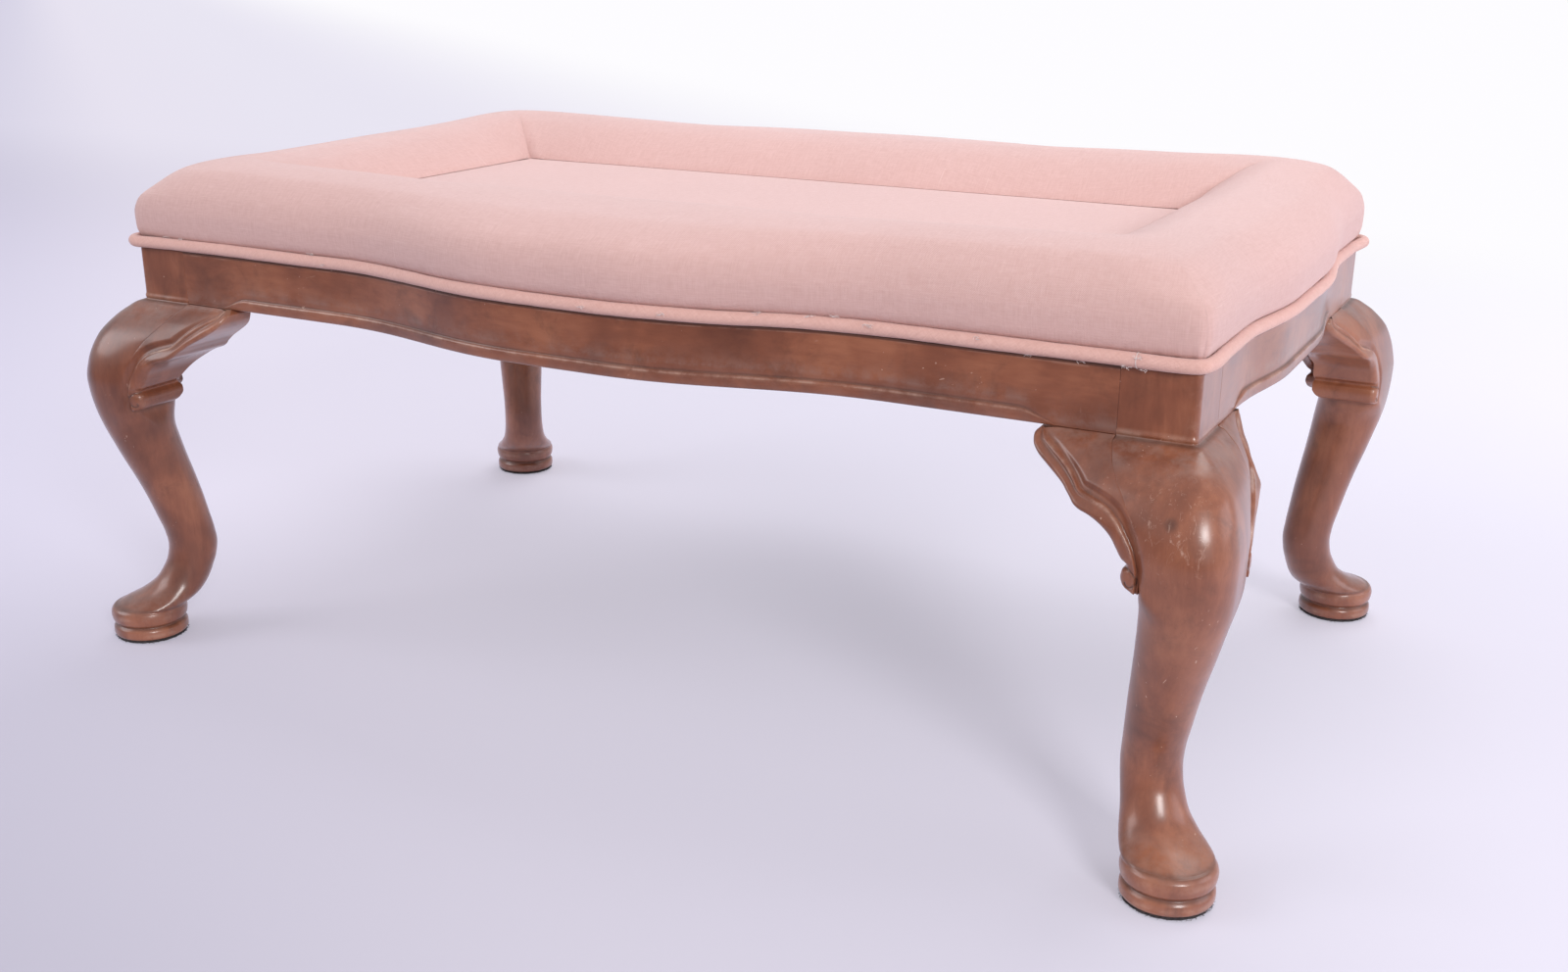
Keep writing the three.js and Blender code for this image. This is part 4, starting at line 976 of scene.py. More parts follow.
# Points of one side's border: along, out, height, and the cloth's own measure across
def borderGrid(rail, sign, isLong):
    grid = []
    for along, out in outlineStations(rail, padDetail["station"]):
        edge = np.array([along, out])
        crest = np.array([fanned(along, crestInset, rail), -crestInset])
        well = np.array([fanned(along, wellInset, rail), -wellInset])
        outerRun = np.linalg.norm(crest - edge)
        innerRun = np.linalg.norm(well - crest)
        lift = cornerLift * ease((abs(crest[0]) / (rail["half"] - crestInset) - 0.4) / 0.6)
        turn = turnShare(rail, along)
        section = [(padDetail["tuck"], padSeamHeight - padDetail["tuckDrop"])]
        for place, share, liftShare, dropShare in outerShares:
            run = place * lerp(padBulge, cornerBulge, turn) if place < 0 else place * outerRun
            level = share - (dropShare + 0.02 * bump(share, 0.8, 0.15)) * turn
            section.append((run, lerp(padSeamHeight, crestHeight + lift * liftShare, level)))
        for place, share in innerShares:
            section.append((outerRun + place * innerRun, lerp(wellHeight, crestHeight + lift, share)))
        section = np.array(section)
        chord = np.concatenate([[0], np.cumsum(np.linalg.norm(np.diff(section, axis=0), axis=1))])
        rows = np.column_stack([chord, section])
        wanted = np.linspace(0, chord[-1], padDetail["steps"])
        run, level = [read(wanted)[:, None] for read in tracks(rows)]
        onOuter = edge + (crest - edge) * np.clip(run / outerRun, None, 1)
        onInner = crest + (well - crest) * clamp01((run - outerRun) / innerRun)
        grid.append(np.column_stack([np.where(run <= outerRun, onOuter, onInner), level, wanted]))
    grid = np.array(grid)
    plan = toFrame(grid[..., 0], grid[..., 1], sign, isLong)
    back = plan[..., 1] / (halfDepth - crestInset)
    lowEnd = np.where(np.arange(grid.shape[1]) < grid.shape[1] * 0.5, padSeamHeight, wellHeight)
    grid[..., 2] += padDetail["backRise"] * back * clamp01((grid[..., 2] - lowEnd) / (crestHeight - lowEnd))
    return grid


sides = {
    "back": (longRail, 1, True, 2),
    "right": (endRail, 1, False, 4),
    "front": (longRail, -1, True, 1),
    "left": (endRail, -1, False, 3),
}
# How widely the cloth rounds the corner, in millimetres, by share of the way from piping to panel
cornerEase = [
    [0, 2.5], [0.1, 6], [0.22, 10], [0.36, 14], [0.5, 18], [0.6, 18], [0.7, 12], [0.82, 5], [0.93, 2],
    [1, 1],
]


# The whole border as one closed run of sections, back to left, with where each side starts
def borderLoop():
    runs = []
    starts = {}
    count = 0
    for side, (rail, sign, isLong, _) in sides.items():
        grid = borderGrid(rail, sign, isLong)
        plan = toFrame(grid[..., 0], grid[..., 1], sign, isLong)
        points = np.concatenate([plan, grid[..., [2, 0, 3]]], -1)
        if side in ("right", "front"):
            points = points[::-1]
        starts[side] = (count, count + len(points) - 1)
        count += len(points) - 1
        runs.append(points[:-1])
    return np.concatenate(runs), starts


def loopMeasure(line):
    step = np.linalg.norm(np.roll(line, -1, 0) - line, axis=1)
    return np.concatenate([[0], np.cumsum(step)[:-1]]), step.sum(), step


def mitreDistance(points, starts):
    result = np.empty(points.shape[:2])
    for j in range(points.shape[1]):
        place, total, _ = loopMeasure(points[:, j, :3])
        gaps = np.abs(place[:, None] - place[[start for start, _ in starts.values()]])
        result[:, j] = np.minimum(gaps, total - gaps).min(1)
    return result


# Cloth drawn round a corner leaves no edge on the outside; each row is eased by its own amount
def easeCorners(points, starts):
    eased = points.copy()
    reach = track(cornerEase, 1)(np.linspace(0, 1, points.shape[1]))
    distance = mitreDistance(points, starts)
    for j, sigma in enumerate(reach):
        place, total, step = loopMeasure(points[:, j, :3])
        gap = np.abs(place[:, None] - place)
        gap = np.minimum(gap, total - gap)
        weight = np.exp(-(gap / sigma) ** 2 / 2) * (step + np.roll(step, 1)) / 2
        soft = weight @ points[:, j, :3] / weight.sum(1, keepdims=True)
        start, fade = padDetail["easeFrom"] * sigma, padDetail["easeFade"] * sigma
        share = 1 - ease((distance[:, j] - start) / fade)
        eased[:, j, :3] = lerp(points[:, j, :3], soft, share[:, None])
    return eased


def loopNormals(points):
    around = np.roll(points, -1, 0) - np.roll(points, 1, 0)
    over = np.gradient(points, axis=1)
    normal = np.cross(around, over)
    normal = normal / (np.linalg.norm(normal, axis=-1, keepdims=True) + 1e-9)
    return normal if normal[:, points.shape[1] * 3 // 5, 2].mean() > 0 else -normal


# Seams pull the cloth in on the inner slope, and by the corners it gathers over the piping
def dressBorder(loop, starts):
    points = loop[..., :3]
    along = loop[..., 3]
    measure = loop[..., 4]
    mitre = mitreDistance(points, starts)
    fromPanel = measure[:, -1:] - measure
    inner = ease((np.linspace(0, 1, points.shape[1]) - 0.56) / 0.24)
    seam = 0.8 * np.exp(-mitre / 1.8) * inner + 0.6 * np.exp(-fromPanel / 2.5)
    puff = padDetail["puff"] * bump(mitre, 9, 6) * inner
    low = np.exp(-((measure - 8) / 13) ** 2)
    waves = np.sin(along * 0.62 + 1.3 * np.sin(measure * 0.11))
    gathers = padDetail["pucker"] * waves * low * np.exp(-mitre / padDetail["puckerReach"])
    pitch = padDetail["unevenPitch"]
    uneven = padDetail["uneven"] * wander(points[..., 0] / pitch + measure / 60, points[..., 1] / pitch, 3)
    fadeIn = clamp01((measure - 4) / 10) * clamp01(fromPanel / 10)
    shift = -padDetail["seamDepth"] * seam + puff + gathers + uneven * fadeIn
    # Painted shade along the mitre seams on the inner slope, at the border's foot over the piping and at the
    # panel's seam
    recess = 0.4 * np.exp(-mitre / 1.0) * inner + 0.7 * np.exp(-measure / 4) + 0.08 * np.exp(-fromPanel / 1.3)
    normals = loopNormals(points)
    return points + normals * shift[..., None], recess, normals


def makeBorder():
    loop, starts = borderLoop()
    loop = easeCorners(loop, starts)
    points, recess, normals = dressBorder(loop, starts)
    under = points - normals * coverThickness
    core = loop[..., :3] - loopNormals(loop[..., :3]) * (coverThickness + padDetail["foamGap"])
    for side, (start, end) in starts.items():
        chosen = np.arange(start, end + 1) % len(loop)
        uv = loop[chosen][..., 3:5] + [sides[side][3] * 1000, 0]
        name = f"border_cover_sewn_{side}"
        cover = shell(name, points[chosen], under[chosen], uv, {"recess": recess[chosen]})
        finishPiece(cover, coverLinen, [f"border_cover_{side}"])
        makeRoll(side, core[chosen][2:-2:2])


def makeRoll(side, stations):
    top = stations[:, 7:-2:2]
    floor = top[:, [0, -1]].copy()
    floor[..., 2] = boardTop + jointGap
    roll = loft(f"border_foam_shaped_{side}", np.concatenate([floor[:, :1], top, floor[:, 1:]], 1))
    finishPiece(roll, plain["foam"], [f"border_foam_{side}"])


# Two grids between -1 and 1, with points closer together towards the ends
def squareGrid(columns, rows):
    spread = [np.sin(np.linspace(-math.pi / 2, math.pi / 2, count)) for count in (columns, rows)]
    return np.meshgrid(*spread, indexing="ij")


def makePanel():
    reachX = halfLength - wellInset - 0.4
    reachY = halfDepth - wellInset - 0.4
    a, d = squareGrid(121, 61)
    x = a * reachX
    y = d * reachY
    toSeam = np.minimum(reachX - np.abs(x), reachY - np.abs(y))
    crown = panelCrown * (1 - a ** 4) * (1 - d ** 4)
    rolling = 0.35 * wander(x / 60, y / 45, 5) * clamp01(toSeam / 20)
    z = wellHeight - 0.3 * panelSink + crown - 0.9 * np.exp(-toSeam / 2.2) + rolling
    points = np.stack([x, y, z], -1)
    # Painted shade along the panel's seam
    fields = {"recess": 0.06 * np.exp(-toSeam / 1.5)}
    uv = points[..., :2] + [6000, 300]
    cover = shell("center_cover_sewn", points, points - [0, 0, coverThickness], uv, fields)
    finishPiece(cover, coverLinen, ["center_cover"])
    a, d = np.meshgrid(np.linspace(-1, 1, 41), np.linspace(-1, 1, 21), indexing="ij")
    level = wellHeight - panelSink - coverThickness - 0.8 - (a ** 8 + d ** 8)
    top = np.stack([a * (halfLength - wellInset - 1), d * (halfDepth - wellInset - 1), level], -1)
    low = top.copy()
    low[..., 2] = boardTop + jointGap
    slab = shell("center_foam_shaped", top, low, np.zeros(top.shape[:2] + (2,)))
    finishPiece(slab, plain["foam"], ["center_foam"])


makeBorder()
makePanel()
print("pad made")


# Plan line of the pad's edge as an evenly spaced closed path, its outward direction and its corners
def padOutline(spacing):
    path = []
    turn = []
    for side, (rail, sign, isLong, _) in sides.items():
        points = outlineStations(rail, spacing)
        plan = toFrame(points[:, 0], points[:, 1], sign, isLong)
        forward = side in ("back", "left")
        path.append((plan if forward else plan[::-1])[:-1])
        turn.append(turnShare(rail, points[:, 0])[:-1])
    path = np.concatenate(path)
    run = np.roll(path, -1, 0) - np.roll(path, 1, 0)
    run = run / np.linalg.norm(run, axis=1)[:, None]
    away = np.stack([-run[:, 1], run[:, 0]], 1)
    if (away * path).sum() < 0:
        away = -away
    return path, away, np.concatenate(turn)


# The cord wanders a little, and the near corner is drawn round more loosely than the others
pipingDetail = {"spacing": 3.2, "ringPoints": 18, "wander": 0.35, "thickThin": 0.035, "looseCorner": 13,
                "looseFrom": 30, "looseFade": 25}


def makePiping():
    spacing = pipingDetail["spacing"]
    path, away, turn = padOutline(spacing)
    angle = roundAngles(pipingDetail["ringPoints"])
    measure = np.concatenate([[0], np.cumsum(np.linalg.norm(np.diff(path, axis=0), axis=1))])
    proud = lerp(pipingProud, pipingCornerProud, turn) + pipingDetail["wander"] * wander(measure / 40, 0, 7)
    wobble = pipingDetail["wander"] * wander(measure / 25, 0, 8)
    radius = pipingRadius * (1 + pipingDetail["thickThin"] * wander(measure / 14, 0, 9))
    line = path + away * proud[:, None]
    fromCorner = np.linalg.norm(line - [halfLength, -halfDepth], axis=1)
    gap = np.abs(measure[:, None] - measure)
    weight = np.exp(-(gap / pipingDetail["looseCorner"]) ** 2 / 2)
    loose = weight @ line / weight.sum(1, keepdims=True)
    share = 1 - ease((fromCorner - pipingDetail["looseFrom"]) / pipingDetail["looseFade"])
    line = lerp(line, loose, share[:, None])
    middle = np.column_stack([line, pipingHeight + wobble])
    ring = sweep(middle, np.column_stack([away, np.zeros(len(away))]), [0, 0, 1], radius, angle)
    rows, columns = ring.shape[:2]
    quads, spots = gridFaces(rows, columns, True, True)
    u = np.append(measure, measure[-1] + spacing)
    v = np.append(angle, 2 * math.pi) * pipingRadius
    uv = np.stack(np.broadcast_arrays(u[spots[..., 0]], v[spots[..., 1]]), -1)
    # Painted shade on the inner side of the cord, against the pad
    recess = np.repeat([0.55 * clamp01(-np.cos(angle)) ** 2], rows, 0)
    tube = makeObject("piping_cord", ring, [quads], [uv], {"recess": recess})
    finishPiece(tube, pipingLinen, ["piping"])
    return middle


pipingPath = makePiping()
print("piping made")

# Felt pads with ragged edges: radius share and height of each ring
feltRadius = 29.5
feltProfile = [(0.93, 0.05), (0.985, 0.35), (1.01, 1.2), (1.0, 2.1), (0.96, feltThickness - 0.35)]


# A shape drawn about its own middle, set under the foot of one corner
def underFoot(points, signs):
    return mirroredPoints(np.array(points) + [halfLength + footReach[0], halfDepth + footReach[1], 0], *signs)


for seed, (corner, signs) in enumerate(corners.items(), 11):
    angle = roundAngles(120)
    ragged = 1 + 0.02 * wander(angle * 9, 0, seed) + 0.012 * wander(angle * 31, 0, seed + 4)
    rings = [circle(feltRadius * share * ragged, angle, height) for share, height in feltProfile]
    pad = loft(f"felt_pad_ragged_{corner}", underFoot(rings, signs))
    finishPiece(pad, plain["felt"], [f"felt_pad_{corner}"])
print("felt pads made")


# A Geometry Nodes tree with named inputs, built here and baked to a plain mesh
class Growth(Graph):
    def __init__(self, name, sizes):
        self.sizes = sizes
        self.tree = bpy.data.node_groups.new(name, "GeometryNodeTree")
        sockets = self.tree.interface
        sockets.new_socket("Geometry", in_out="INPUT", socket_type="NodeSocketGeometry")
        sockets.new_socket("Geometry", in_out="OUTPUT", socket_type="NodeSocketGeometry")
        for label, value in sizes.items():
            kind = "NodeSocketInt" if isinstance(value, int) else "NodeSocketFloat"
            sockets.new_socket(label, in_out="INPUT", socket_type=kind)
        self.start = self.tree.nodes.new("NodeGroupInput")
        self.end = self.tree.nodes.new("NodeGroupOutput")
        self.seeds = self.size("Geometry")

    def size(self, label):
        return Wire(self, self.start.outputs[label])

    def vector(self, x, y, z):
        return self.node("ShaderNodeCombineXYZ", {}, {0: x, 1: y, 2: z})

    # Numbers use the node's second pair of ends and second output, vectors its first
    def chance(self, low, high, seed):
        isVector = isinstance(low, tuple)
        kind, after = ("FLOAT_VECTOR", "") if isVector else ("FLOAT", "_001")
        ends = {f"Min{after}": low, f"Max{after}": high, "Seed": seed}
        return self.node("FunctionNodeRandomValue", {"data_type": kind}, ends, f"Value{after}")

    def copies(self, points, shape, rotation, scale=(1, 1, 1)):
        inputs = {"Points": points, "Instance": shape, "Rotation": rotation, "Scale": scale}
        return self.node("GeometryNodeInstanceOnPoints", {}, inputs)

    # Turn that lays an axis along a direction and then spins about the upright
    def aimed(self, axis, toward, spin):
        lined = self.node("FunctionNodeAlignRotationToVector", {"axis": axis}, {"Vector": toward}, "Rotation")
        turn = self.node("FunctionNodeEulerToRotation", {}, {0: self.vector(0, 0, spin)})
        return self.node("FunctionNodeRotateRotation", {"rotation_space": "LOCAL"}, {0: lined, 1: turn})

    def bake(self, name, seeds, grown, material):
        solid = self.node("GeometryNodeRealizeInstances", {}, {0: grown})
        coated = self.node("GeometryNodeSetMaterial", {}, {"Geometry": solid, "Material": material})
        self.tree.links.new(coated.socket, self.end.inputs[0])
        modifier = seeds.modifiers.new(name, "NODES")
        modifier.node_group = self.tree
        for item in self.tree.interface.items_tree:
            if item.item_type == "SOCKET" and item.in_out == "INPUT" and item.name in self.sizes:
                modifier[item.identifier] = self.sizes[item.name]
        seen = bpy.context.evaluated_depsgraph_get()
        mesh = bpy.data.meshes.new_from_object(seeds.evaluated_get(seen))
        seeds.modifiers.remove(modifier)
        bpy.data.objects.remove(seeds)
        shade(mesh, True)
        return addObject(name, mesh)


# Bare vertices, or a closed line, that a tree grows its copies on
def makeSeeds(name, points, aims=None, closed=False):
    points = np.asarray(points, float)
    count = len(points)
    edges = [(i, (i + 1) % count) for i in range(count)] if closed else []
    mesh = bpy.data.meshes.new(name)
    mesh.from_pydata((points / 1000).tolist(), edges, [])
    if aims is not None:
        layer = mesh.attributes.new("aim", "FLOAT_VECTOR", "POINT")
        layer.data.foreach_set("vector", np.asarray(aims, float).ravel())
    return addObject(name, mesh)


# Pan-head screws with a cross recess, seen from beneath: seat beside each corner, aim and reach
screwLook = {"headRadius": 4.2, "headHeight": 2.6, "shankRadius": 2, "gap": 0.3, "recessDepth": 1.3,
             "arm": 0.62}
screwSeats = {
    "long_block_screw": ((-84.3, -41.3, 327.7), (0, 1, 0), 33.3),
    "end_block_screw": ((-41.3, -84.3, 327.7), (1, 0, 0), 33.3),
    "seat_screw": ((-60, -60, 311.7), (0, 0, 1), 41.6),
}


def screwPattern(reach):
    radius, gap, shank = screwLook["headRadius"], screwLook["gap"], screwLook["shankRadius"]
    top = -gap - screwLook["headHeight"]
    angle = roundAngles(48)
    rings = []
    for share in np.linspace(0.05, 0.94, 16):
        ring = circle(share * radius, angle, top + 0.9 * share ** 2.4)
        across, length = np.sort(np.abs(ring[:, :2]), 1).T
        cross = (1 - ease((across - screwLook["arm"] + 0.2) / 0.35)) * (1 - ease((length - 2) / 0.5))
        ring[:, 2] += screwLook["recessDepth"] * cross
        rings.append(ring)
    head = [(radius, top + 1.3), (radius, -0.5), (radius - 0.2, -gap)]
    rest = head + [(shank, -gap), (shank, reach - 4), (0.4, reach)]
    return loft("screw_pattern", rings + [circle(size, angle, level) for size, level in rest])


def makeScrews():
    turned = np.array([[signX, signY, 1] for signX, signY in corners.values()])
    for kind, (seat, aim, reach) in screwSeats.items():
        places = np.array([halfLength, halfDepth, 0]) + seat
        pattern = screwPattern(reach)
        seeds = makeSeeds(f"{kind}_seeds", places * turned, np.array(aim) * turned)
        growth = Growth(f"{kind}_tree", {"Size": 1.0, "Spin Seed": 4})
        held = growth.node("GeometryNodeObjectInfo", {}, {"Object": pattern, "As Instance": True}, "Geometry")
        vectorKind = {"data_type": "FLOAT_VECTOR"}
        toward = growth.node("GeometryNodeInputNamedAttribute", vectorKind, {"Name": "aim"}, "Attribute")
        rotation = growth.aimed("Z", toward, growth.chance(0.0, 3.1, growth.size("Spin Seed")))
        scale = growth.vector(*[growth.size("Size")] * 3)
        grown = growth.copies(growth.seeds, held, rotation, scale)
        screws = growth.bake(f"{kind}s", seeds, grown, plain["steel"])
        bpy.data.objects.remove(pattern)
        finishPiece(screws, plain["steel"], [f"{kind}_{corner}" for corner in corners])


makeScrews()
print("screws made")

# Dust cover stapled under the seat board, cut off at the corner blocks
coverLook = {"reachX": 425.7, "reachY": 231.7, "cornerCut": 86.3, "top": 343.9, "thickness": 0.5, "sag": 2.2,
             "pull": 0.35, "pullPitch": 38, "ripple": 0.25, "stapleInset": 7, "stapleDrop": 0.75}
stapleSizes = {"Pitch": 0.038, "Width": 0.0105, "Wire": 0.0008, "Seed": 2}


def coverReach(y, inset=0):
    reachX, reachY, cut = coverLook["reachX"], coverLook["reachY"], coverLook["cornerCut"]
    return np.minimum(reachX - inset, reachX - cut + reachY - np.abs(y) - 1.414 * inset)


def makeDustCover():
    reachX, reachY = coverLook["reachX"], coverLook["reachY"]
    a, d = squareGrid(121, 81)
    y = reachY * d
    x = a * coverReach(y)
    edge = np.minimum(coverReach(y) - np.abs(x), reachY - np.abs(y))
    sag = coverLook["sag"] * (1 - a ** 2) * (1 - (y / reachY) ** 2)
    waves = 1 + np.sin((x + y) * 2 * math.pi / coverLook["pullPitch"])
    pulls = coverLook["pull"] * np.exp(-edge / 16) * waves * clamp01(edge / 3)
    ripples = coverLook["ripple"] * (1 + wander(x / 50, y / 50, 6)) * clamp01(edge / 12)
    z = coverLook["top"] - sag - pulls - ripples
    outside = np.stack([x, y, z], -1)
    cover = shell("dust_cover_stapled", outside, outside - [0, 0, coverLook["thickness"]], outside[..., :2])
    finishPiece(cover, plain["cambric"], ["dust_cover"])


def makeStaples():
    inset = coverLook["stapleInset"]
    reachX, reachY = coverLook["reachX"] - inset, coverLook["reachY"] - inset
    shortX = float(coverReach(reachY, inset))
    shortY = reachY - (reachX - shortX)
    level = coverLook["top"] - coverLook["thickness"] - coverLook["stapleDrop"]
    half = [(shortX, reachY), (reachX, shortY), (reachX, -shortY), (shortX, -reachY)]
    ring = [(x, y, level) for x, y in half] + [(-x, y, level) for x, y in half[::-1]]
    seeds = makeSeeds("staple_seeds", ring, closed=True)
    growth = Growth("staple_tree", stapleSizes)
    line = growth.node("GeometryNodeMeshToCurve", {}, {0: growth.seeds})
    spacing = {"Curve": line, "Length": growth.size("Pitch")}
    wanted = ("Points", "Tangent")
    points, tangent = growth.node("GeometryNodeCurveToPoints", {"mode": "LENGTH"}, spacing, wanted)
    wire = growth.size("Wire")
    crown = growth.vector(growth.size("Width"), wire, wire)
    crown = growth.node("GeometryNodeMeshCube", {}, {"Size": crown}, "Mesh")
    rotation = growth.aimed("X", tangent, growth.chance(-0.3, 0.3, growth.size("Seed")))
    staples = growth.bake("dust_cover_staples", seeds, growth.copies(points, crown, rotation), plain["steel"])
    shade(staples.data, False)
    finishPiece(staples, plain["steel"])


makeDustCover()
makeStaples()
print("dust cover made")


# Short loose fibres: lint caught along the piping, and the felt's frayed edge
def growFibres(name, places, sizes, material):
    seeds = makeSeeds(f"{name}_seeds", places)
    growth = Growth(f"{name}_tree", sizes)
    seed, spread, length = growth.size("Seed"), growth.size("Spread"), growth.size("Length")
    amount = {"Geometry": growth.seeds, "Amount": growth.size("Fibres")}
    doubled = growth.node("GeometryNodeDuplicateElements", {"domain": "POINT"}, amount, "Geometry")
    offset = growth.vectorMaths("MULTIPLY", {
        0: growth.chance((-1, -1, -1), (1, 1, 1), seed),
        1: growth.vector(spread, spread, growth.size("Rise")),
    })
    moved = growth.node("GeometryNodeSetPosition", {}, {"Geometry": doubled, "Offset": offset})
    bent = growth.node("GeometryNodeCurveQuadraticBezier", {}, {
        "Resolution": 5,
        "Start": growth.vector(length * -0.5, 0, 0),
        "Middle": growth.vector(0, length * 0.45, length * 0.2),
        "End": growth.vector(length * 0.5, 0, 0),
    }, "Curve")
    section = {"Resolution": 4, "Radius": growth.size("Thickness")}
    section = growth.node("GeometryNodeCurvePrimitiveCircle", {}, section, "Curve")
    fibre = {"Curve": bent, "Profile Curve": section, "Fill Caps": True}
    fibre = growth.node("GeometryNodeCurveToMesh", {}, fibre)
    rotation = growth.chance((-0.5, -0.5, -3.1), (0.5, 0.5, 3.1), seed + 1)
    scale = growth.chance((0.5, 0.5, 1), (1.3, 1.3, 1), seed + 2)
    fibres = growth.bake(name, seeds, growth.copies(moved, fibre, rotation, scale), material)
    finishPiece(fibres, material)


lintLook = {"Fibres": 16, "Length": 0.0034, "Thickness": 0.00013, "Spread": 0.0028, "Rise": 0.0009, "Seed": 5}
fringeLook = {"Fibres": 3, "Length": 0.0026, "Thickness": 0.00012, "Spread": 0.0007, "Rise": 0.0007,
              "Seed": 9}
# Tufts along the front: place along the rail, height above the piping's middle (share of its radius)
lintPlaces = [(-412, 1.2), (-397, 1.1), (-256, 1.2), (-240, -0.2), (25, 0), (89, 0.1), (152, 0.9), (189, 0.9),
              (203, 1.3), (228, 0.5), (307, 0.5), (410, 0.6), (404, -0.9), (415, -1.1), (375, -1), (340, -1)]
threadLook = {"along": 410, "turns": 1.2, "pitch": 0.9, "radius": 0.2}


def frontPipingAt(x):
    front = pipingPath[pipingPath[:, 1] < -200]
    return front[np.argmin(np.abs(front[:, 0] - x))]


def makeLint():
    places = []
    for x, high in lintPlaces:
        out = pipingRadius * math.sqrt(max(1 - min(abs(high), 1) ** 2, 0)) + 0.2
        places.append(frontPipingAt(x) + [0, -out, high * pipingRadius])
    growFibres("lint_tufts", places, lintLook, plain["lint"])


def makeFringe():
    ring = circle(1.005 * feltRadius, roundAngles(90), 1.2)
    places = [underFoot(ring, signs) for signs in corners.values()]
    growFibres("felt_fringe", np.concatenate(places), fringeLook, plain["felt"])


# Thread wound round the piping where its two ends are joined
def makeThread():
    turn = np.linspace(0, threadLook["turns"] * 2 * math.pi, 90)
    outward = np.stack([0 * turn, np.cos(turn), np.sin(turn)], 1)
    path = frontPipingAt(threadLook["along"]) + outward * (pipingRadius + threadLook["radius"])
    path[:, 0] += threadLook["pitch"] * turn / (2 * math.pi) - 1.2
    radius = threadLook["radius"] * np.sqrt(np.clip(np.minimum(turn, turn[::-1]) / 0.2, 0.05, 1))
    thread = loft("piping_join_thread", sweep(path, outward, [1, 0, 0], radius, roundAngles(8)))
    finishPiece(thread, plain["thread"])


makeLint()
makeFringe()
makeThread()
print("lint, fringe and thread made")

# Bare timber inside keeps its CAD shape
for name in ["seat_board"] + [f"corner_block_{corner}" for corner in corners]:
    for held in bpy.data.objects[name].material_slots:
        held.material = plain["plywood" if name == "seat_board" else "pine"]

# Stage: a pale lilac floor that runs out to white at the back; its colour is painted darker towards the left
# front, as shade where the light falls off
stageLook = {
    "dim": (0.68, 0.655, 0.79, 1),
    "near": (0.80, 0.765, 0.875, 1),
    "bright": (0.81, 0.785, 0.89, 1),
    "white": (0.985, 0.975, 1, 1),
    "front": (0.16, 0.14, 0.16, 1),
    "reach": 40.0,
    "lilac": (0.86, 0.78, 1, 1),
    "shown": 0.4,
    "dimBand": (-0.85, -0.25),
    "brightBand": (-0.45, 0.45),
    "whiteBand": (0.5, 2.2),
    "shadeBand": (-0.95, -0.05),
    "paleBand": (-2.2, -1.1),
    "frontBand": (-1.5, -0.65),
    "lilacBand": (-0.6, 0.2),
    "backBand": (1.1, 2.6),
    "sky": (0.94, 0.92, 1.0, 1),
    "skyStrength": 0.60,
}
# Lamps: place, what each one points at, width and height, watts, colour
lamps = {
    "soft_right": ((3.2, -2.9, 2.15), (0, 0, 0.2), (1.2, 1.35), 112, (1, 0.99, 0.99)),
    "soft_side": ((3.2, 0.7, 1.2), (0, 0, 0.2), (2.0, 1.4), 16, (0.93, 0.9, 1)),
    "soft_left": ((-3.3, -2.2, 2.4), (0, 0, 0.2), (2.4, 2.1), 50, (0.97, 0.96, 1)),
    "soft_top": ((0.2, 1.3, 2.9), (0, 0, 0.3), (2.4, 2.0), 36, (1, 1, 1)),
}


# The floor's own light shows it evenly to the camera and in the varnish, and lights nothing else. Its bands
# are the metres over which one tone passes into the next, slanting or straight back
def makeFloor():
    reach = stageLook["reach"]
    points = [(x * reach, y * reach, -0.0005) for x, y in ((-1, -1), (1, -1), (1, 1), (-1, 1))]
    mesh = bpy.data.meshes.new("studio_floor")
    mesh.from_pydata(points, [], [(0, 1, 2, 3)])
    graph = Graph(bpy.data.materials.new("floor_lilac"))
    across, deep, _ = graph.axes(graph.place())
    slant = across * 0.63 + deep * 0.78
    # Painted light and shade: the floor's colour runs from dim at the left front to bright, and then to white
    # at the back
    color = graph.blend(graph.between(slant, *stageLook["dimBand"]), stageLook["dim"], stageLook["near"])
    color = graph.blend(graph.between(slant, *stageLook["brightBand"]), color, stageLook["bright"])
    color = graph.blend(graph.between(slant, *stageLook["whiteBand"]), color, stageLook["white"])
    # Painted shade: the floor darkens towards the front
    color = graph.tinted(color, 0.68 + graph.between(deep, *stageLook["shadeBand"]) * 0.32)
    color = graph.blend(1 - graph.between(deep, *stageLook["paleBand"]), color, stageLook["bright"])
    rays = ("Is Camera Ray", "Is Glossy Ray", "Is Transmission Ray")
    direct, glossy, passed = graph.node("ShaderNodeLightPath", {}, {}, rays)
    # Painted reflection and shade: towards the front the floor is dark to all rays but the camera's, so the
    # varnish reflects it dark and it bounces little light
    unlit = (1 - direct) * (1 - graph.between(deep, *stageLook["frontBand"]))
    color = graph.blend(unlit, color, stageLook["front"])
    look = {"Base Color": color, "Roughness": 0.85, "Specular IOR Level": 0.1}
    surface = graph.node("ShaderNodeBsdfPrincipled", {}, look)
    # Painted reflection: behind its front the floor looks more lilac in the varnish than to the camera
    mirrored = glossy * 0.6 * graph.between(deep, *stageLook["lilacBand"])
    color = graph.blend(mirrored, color, stageLook["lilac"])
    shown = graph.node("ShaderNodeEmission", {}, {"Color": color, "Strength": 1.0})
    seen = graph.maths("MAXIMUM", graph.maths("MAXIMUM", direct, glossy), passed)
    least = stageLook["shown"]
    share = seen * (least + graph.between(deep, *stageLook["backBand"]) * (1 - least))
    mixed = graph.node("ShaderNodeMixShader", {}, {0: share, 1: surface, 2: shown})
    floor = addObject("studio_floor", mesh)
    floor.data.materials.append(graph.finish(mixed))


makeFloor()


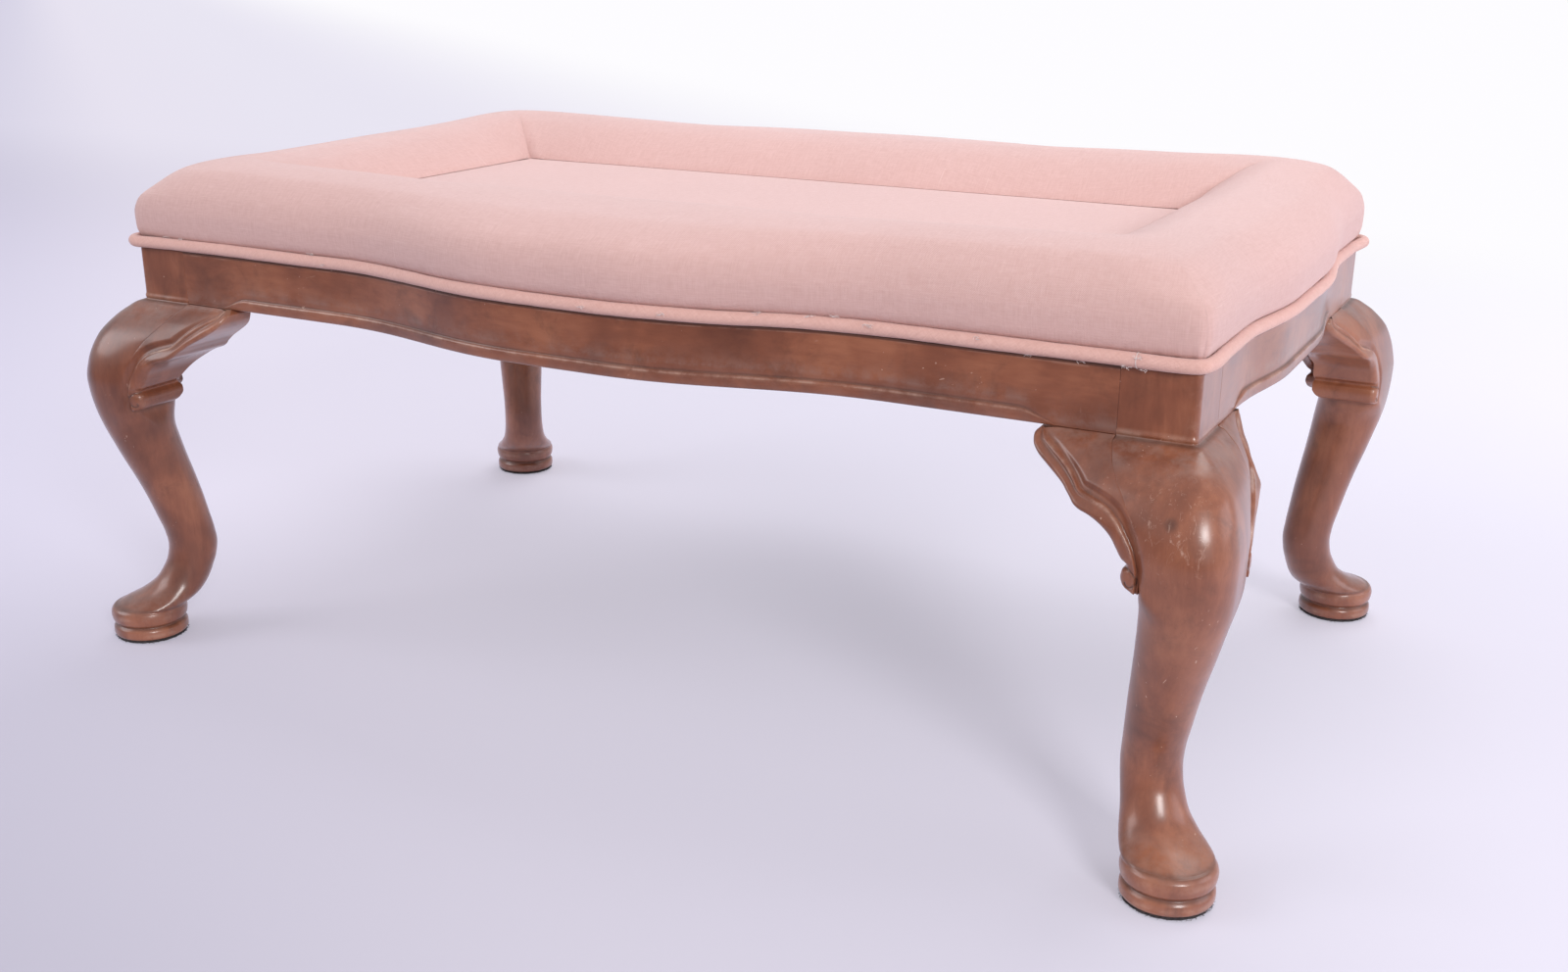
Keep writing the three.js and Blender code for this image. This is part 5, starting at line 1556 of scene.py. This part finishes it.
# Pale light from all round, and plain white where the camera sees past the floor
def makeWorld():
    world = bpy.data.worlds.new("studio_world")
    bpy.context.scene.world = world
    graph = Graph(world, "ShaderNodeOutputWorld")
    direct = graph.node("ShaderNodeLightPath", {}, {}, "Is Camera Ray")
    sky = {"Color": stageLook["sky"], "Strength": stageLook["skyStrength"]}
    lit = graph.node("ShaderNodeBackground", {}, sky)
    seen = graph.node("ShaderNodeBackground", {}, {"Color": (1, 1, 1, 1), "Strength": 1.0})
    graph.finish(graph.node("ShaderNodeMixShader", {}, {0: direct, 1: lit, 2: seen}))


makeWorld()

for name, (place, target, size, power, color) in lamps.items():
    data = bpy.data.lights.new(name, "AREA")
    data.shape = "RECTANGLE"
    data.size, data.size_y = size
    data.energy = power
    data.color = color
    lamp = addObject(name, data)
    lamp.location = place
    lamp.rotation_euler = (Vector(target) - Vector(place)).to_track_quat("-Z", "Y").to_euler()

# Camera fitted to the photograph
cameraFit = {
    "place": (0.6858, -1.2455, 0.5941),
    "yaw": math.radians(27.780),
    "pitch": math.radians(19.215),
    "roll": math.radians(0.353),
    "lens": 38.503,
    "shiftY": 0.0210,
}


def makeCamera():
    yaw, pitch, roll = cameraFit["yaw"], cameraFit["pitch"], cameraFit["roll"]
    forward = Vector((-math.sin(yaw) * math.cos(pitch), math.cos(yaw) * math.cos(pitch), -math.sin(pitch)))
    right = forward.cross(Vector((0, 0, 1))).normalized()
    up = right.cross(forward)
    turnedRight = math.cos(roll) * right + math.sin(roll) * up
    turnedUp = -math.sin(roll) * right + math.cos(roll) * up
    data = bpy.data.cameras.new("fitted_camera")
    data.sensor_width = 36
    data.lens = cameraFit["lens"]
    data.shift_y = cameraFit["shiftY"]
    data.clip_end = 120
    camera = addObject("fitted_camera", data)
    columns = [turnedRight, turnedUp, -forward, Vector(cameraFit["place"])]
    camera.matrix_world = Matrix([[column[row] for column in columns] for row in range(3)] + [[0, 0, 0, 1]])
    bpy.context.scene.camera = camera


makeCamera()
bpy.context.scene.view_settings.view_transform = "Standard"
print("stage made")
